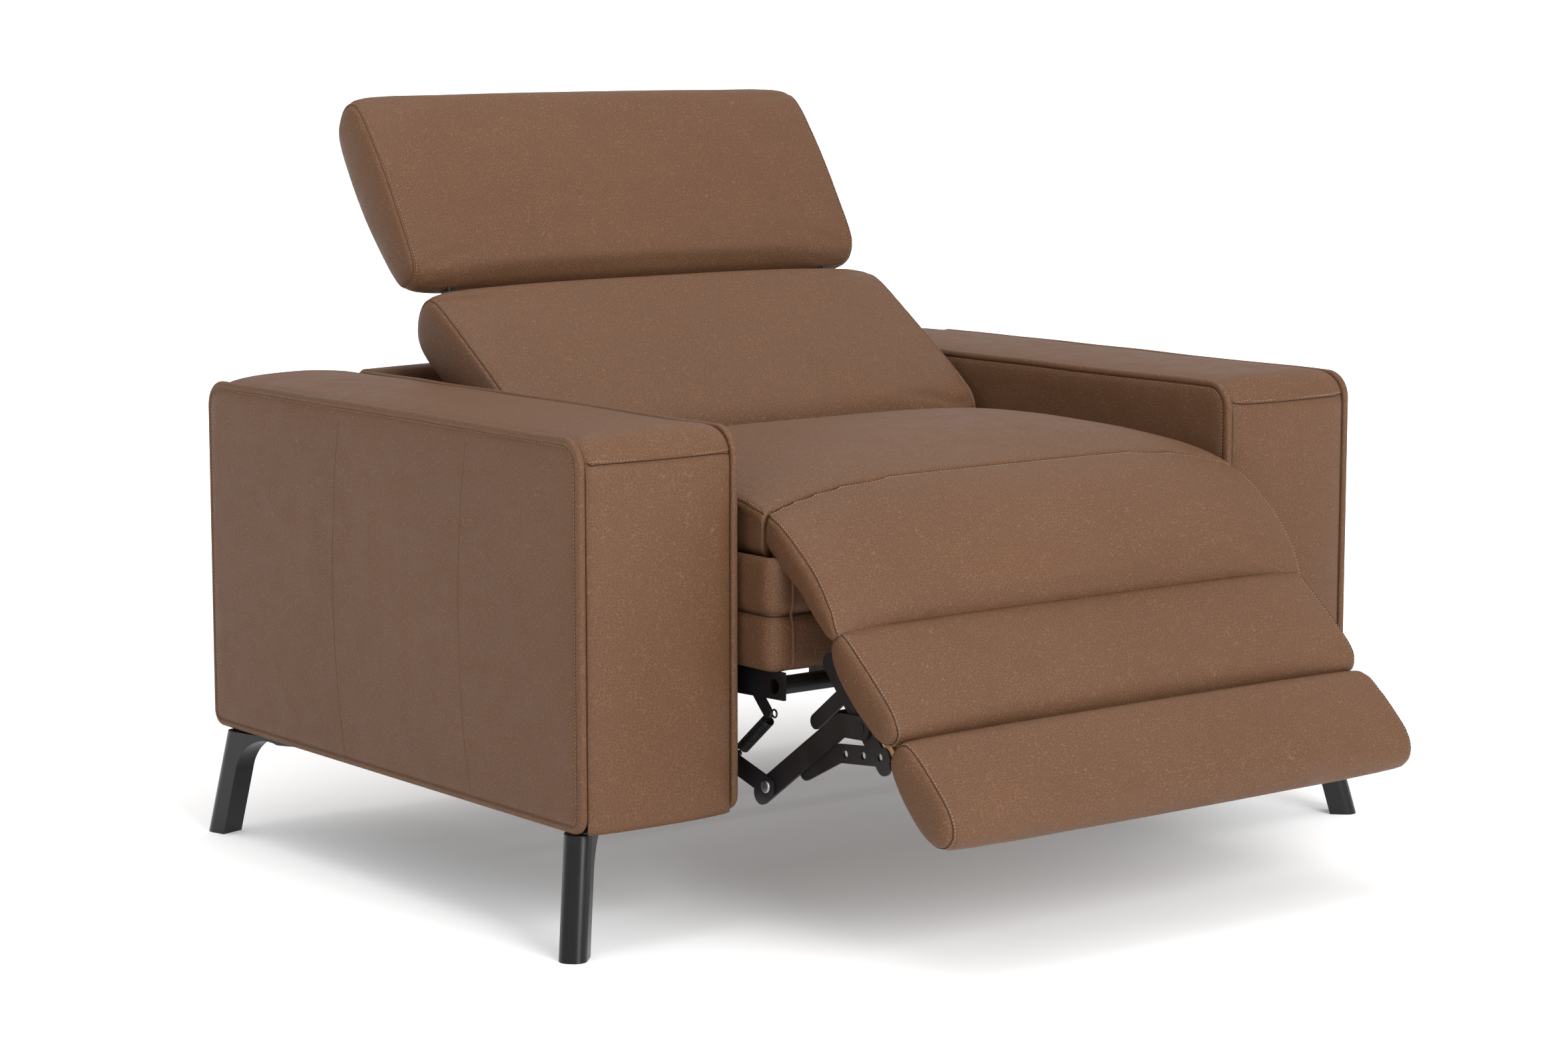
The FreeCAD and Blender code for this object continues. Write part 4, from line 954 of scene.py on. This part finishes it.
def rivet(name, x, y, z, body, side):
    bm = bmesh.new()
    radius, rise = rivetLook["radius"], rivetLook["rise"]
    bmesh.ops.create_cone(bm, cap_ends=True, segments=20, radius1=radius, radius2=radius, depth=rise)
    edges = [e for e in bm.edges if all(v.co.z > 0 for v in e.verts)]
    bmesh.ops.bevel(bm, geom=edges, offset=rise * 0.7, segments=4, profile=0.5,
                    affect="EDGES", material=-1)
    turn = Matrix.Rotation(radians(90) * side, 4, "Y")
    place = Matrix.Translation((side * (x / 1000 + rise / 2), armMiddle + y / 1000, z / 1000))
    bmesh.ops.transform(bm, matrix=place @ turn, verts=bm.verts)
    ride(shown(name, bm, zincPlate), body)


for side, label in ((-1, "Left"), (1, "Right")):
    for name, x, y, z, body in rivetLook["pivots"]:
        rivet(name + label, x, y, z, body, side)
print("rivets")


# Floor, light and camera
lightLook = {
    "horizon": 0.52, "zenith": 0.95,
    # name, place, width, power
    "areas": [("keyLight", (-0.6, -5.2, 2.8), 3.0, 210), ("topLight", (-0.3, 0.0, 4.8), 3.4, 80)],
    "floorGlow": (1.6, 4.5, 0.2, 0.9),  # the floor's painted light: its glow grows between these distances
    "aimAt": (0, 0, 0.4),
}
cameraLook = {"place": (-3.21016, -3.97460, 1.18295), "yaw": 37.895, "pitch": 8.106, "lens": 84.53}


def glowingFloor():
    # A matt white sweep with painted light: it glows, faintly beside the chair, which lightens its
    # shadow there, and more away from it.
    bm = bmesh.new()
    bmesh.ops.create_circle(bm, cap_ends=True, segments=96, radius=60)
    paper = speckled("paleGlowingFloor", "#f3f3f3", "#f6f6f6", {
        "Specular IOR Level": 0.0, "Emission Color": (1, 1, 1, 1)}, 8, (0.85, 0.95), 0.01)
    tree = paper.node_tree
    place = addNode(tree, "ShaderNodeTexCoord").outputs["Object"]
    # Painted light: the floor's emission grows with distance from the chair.
    away = addNode(tree, "ShaderNodeVectorMath", {"operation": "LENGTH"}, {0: place})
    glow = ranged(tree, away.outputs["Value"], *lightLook["floorGlow"])
    tree.links.new(glow, tree.nodes["Principled BSDF"].inputs["Emission Strength"])
    shown("floor", bm, paper)


def softLight():
    # A soft sky that is white where the camera sees it, and two round soft lights.
    world = bpy.data.worlds.new("studio")
    world.use_nodes = True
    tree = world.node_tree
    scene.world = world
    sky = tree.nodes["Background"]
    sky.inputs["Color"].default_value = (1, 1, 1, 1)
    facing = addNode(tree, "ShaderNodeTexCoord").outputs["Generated"]
    height = addNode(tree, "ShaderNodeSeparateXYZ", {}, {0: facing}).outputs["Z"]
    strength = ranged(tree, height, 0.0, 0.9, lightLook["horizon"], lightLook["zenith"])
    tree.links.new(strength, sky.inputs["Strength"])
    seen = addNode(tree, "ShaderNodeBackground", {"Strength": 1.0, "Color": (1, 1, 1, 1)})
    ray = addNode(tree, "ShaderNodeLightPath")
    mix = addNode(tree, "ShaderNodeMixShader", {}, {0: ray.outputs["Is Camera Ray"]})
    tree.links.new(sky.outputs[0], mix.inputs[1])
    tree.links.new(seen.outputs[0], mix.inputs[2])
    tree.links.new(mix.outputs[0], tree.nodes["World Output"].inputs[0])
    for name, place, size, power in lightLook["areas"]:
        light = bpy.data.lights.new(name, "AREA")
        light.shape = "DISK"
        light.size = size
        light.energy = power
        lamp = linked(name, light)
        lamp.location = place
        aim = Vector(lightLook["aimAt"]) - Vector(place)
        lamp.rotation_euler = aim.to_track_quat("-Z", "Y").to_euler()


glowingFloor()
softLight()
camera = linked("camera", bpy.data.cameras.new("camera"))
scene.camera = camera
camera.location = cameraLook["place"]
camera.rotation_euler = (radians(90 - cameraLook["pitch"]), 0, -radians(cameraLook["yaw"]))
camera.data.sensor_width = 36
camera.data.lens = cameraLook["lens"]
scene.view_settings.view_transform = "Standard"
print("studio")
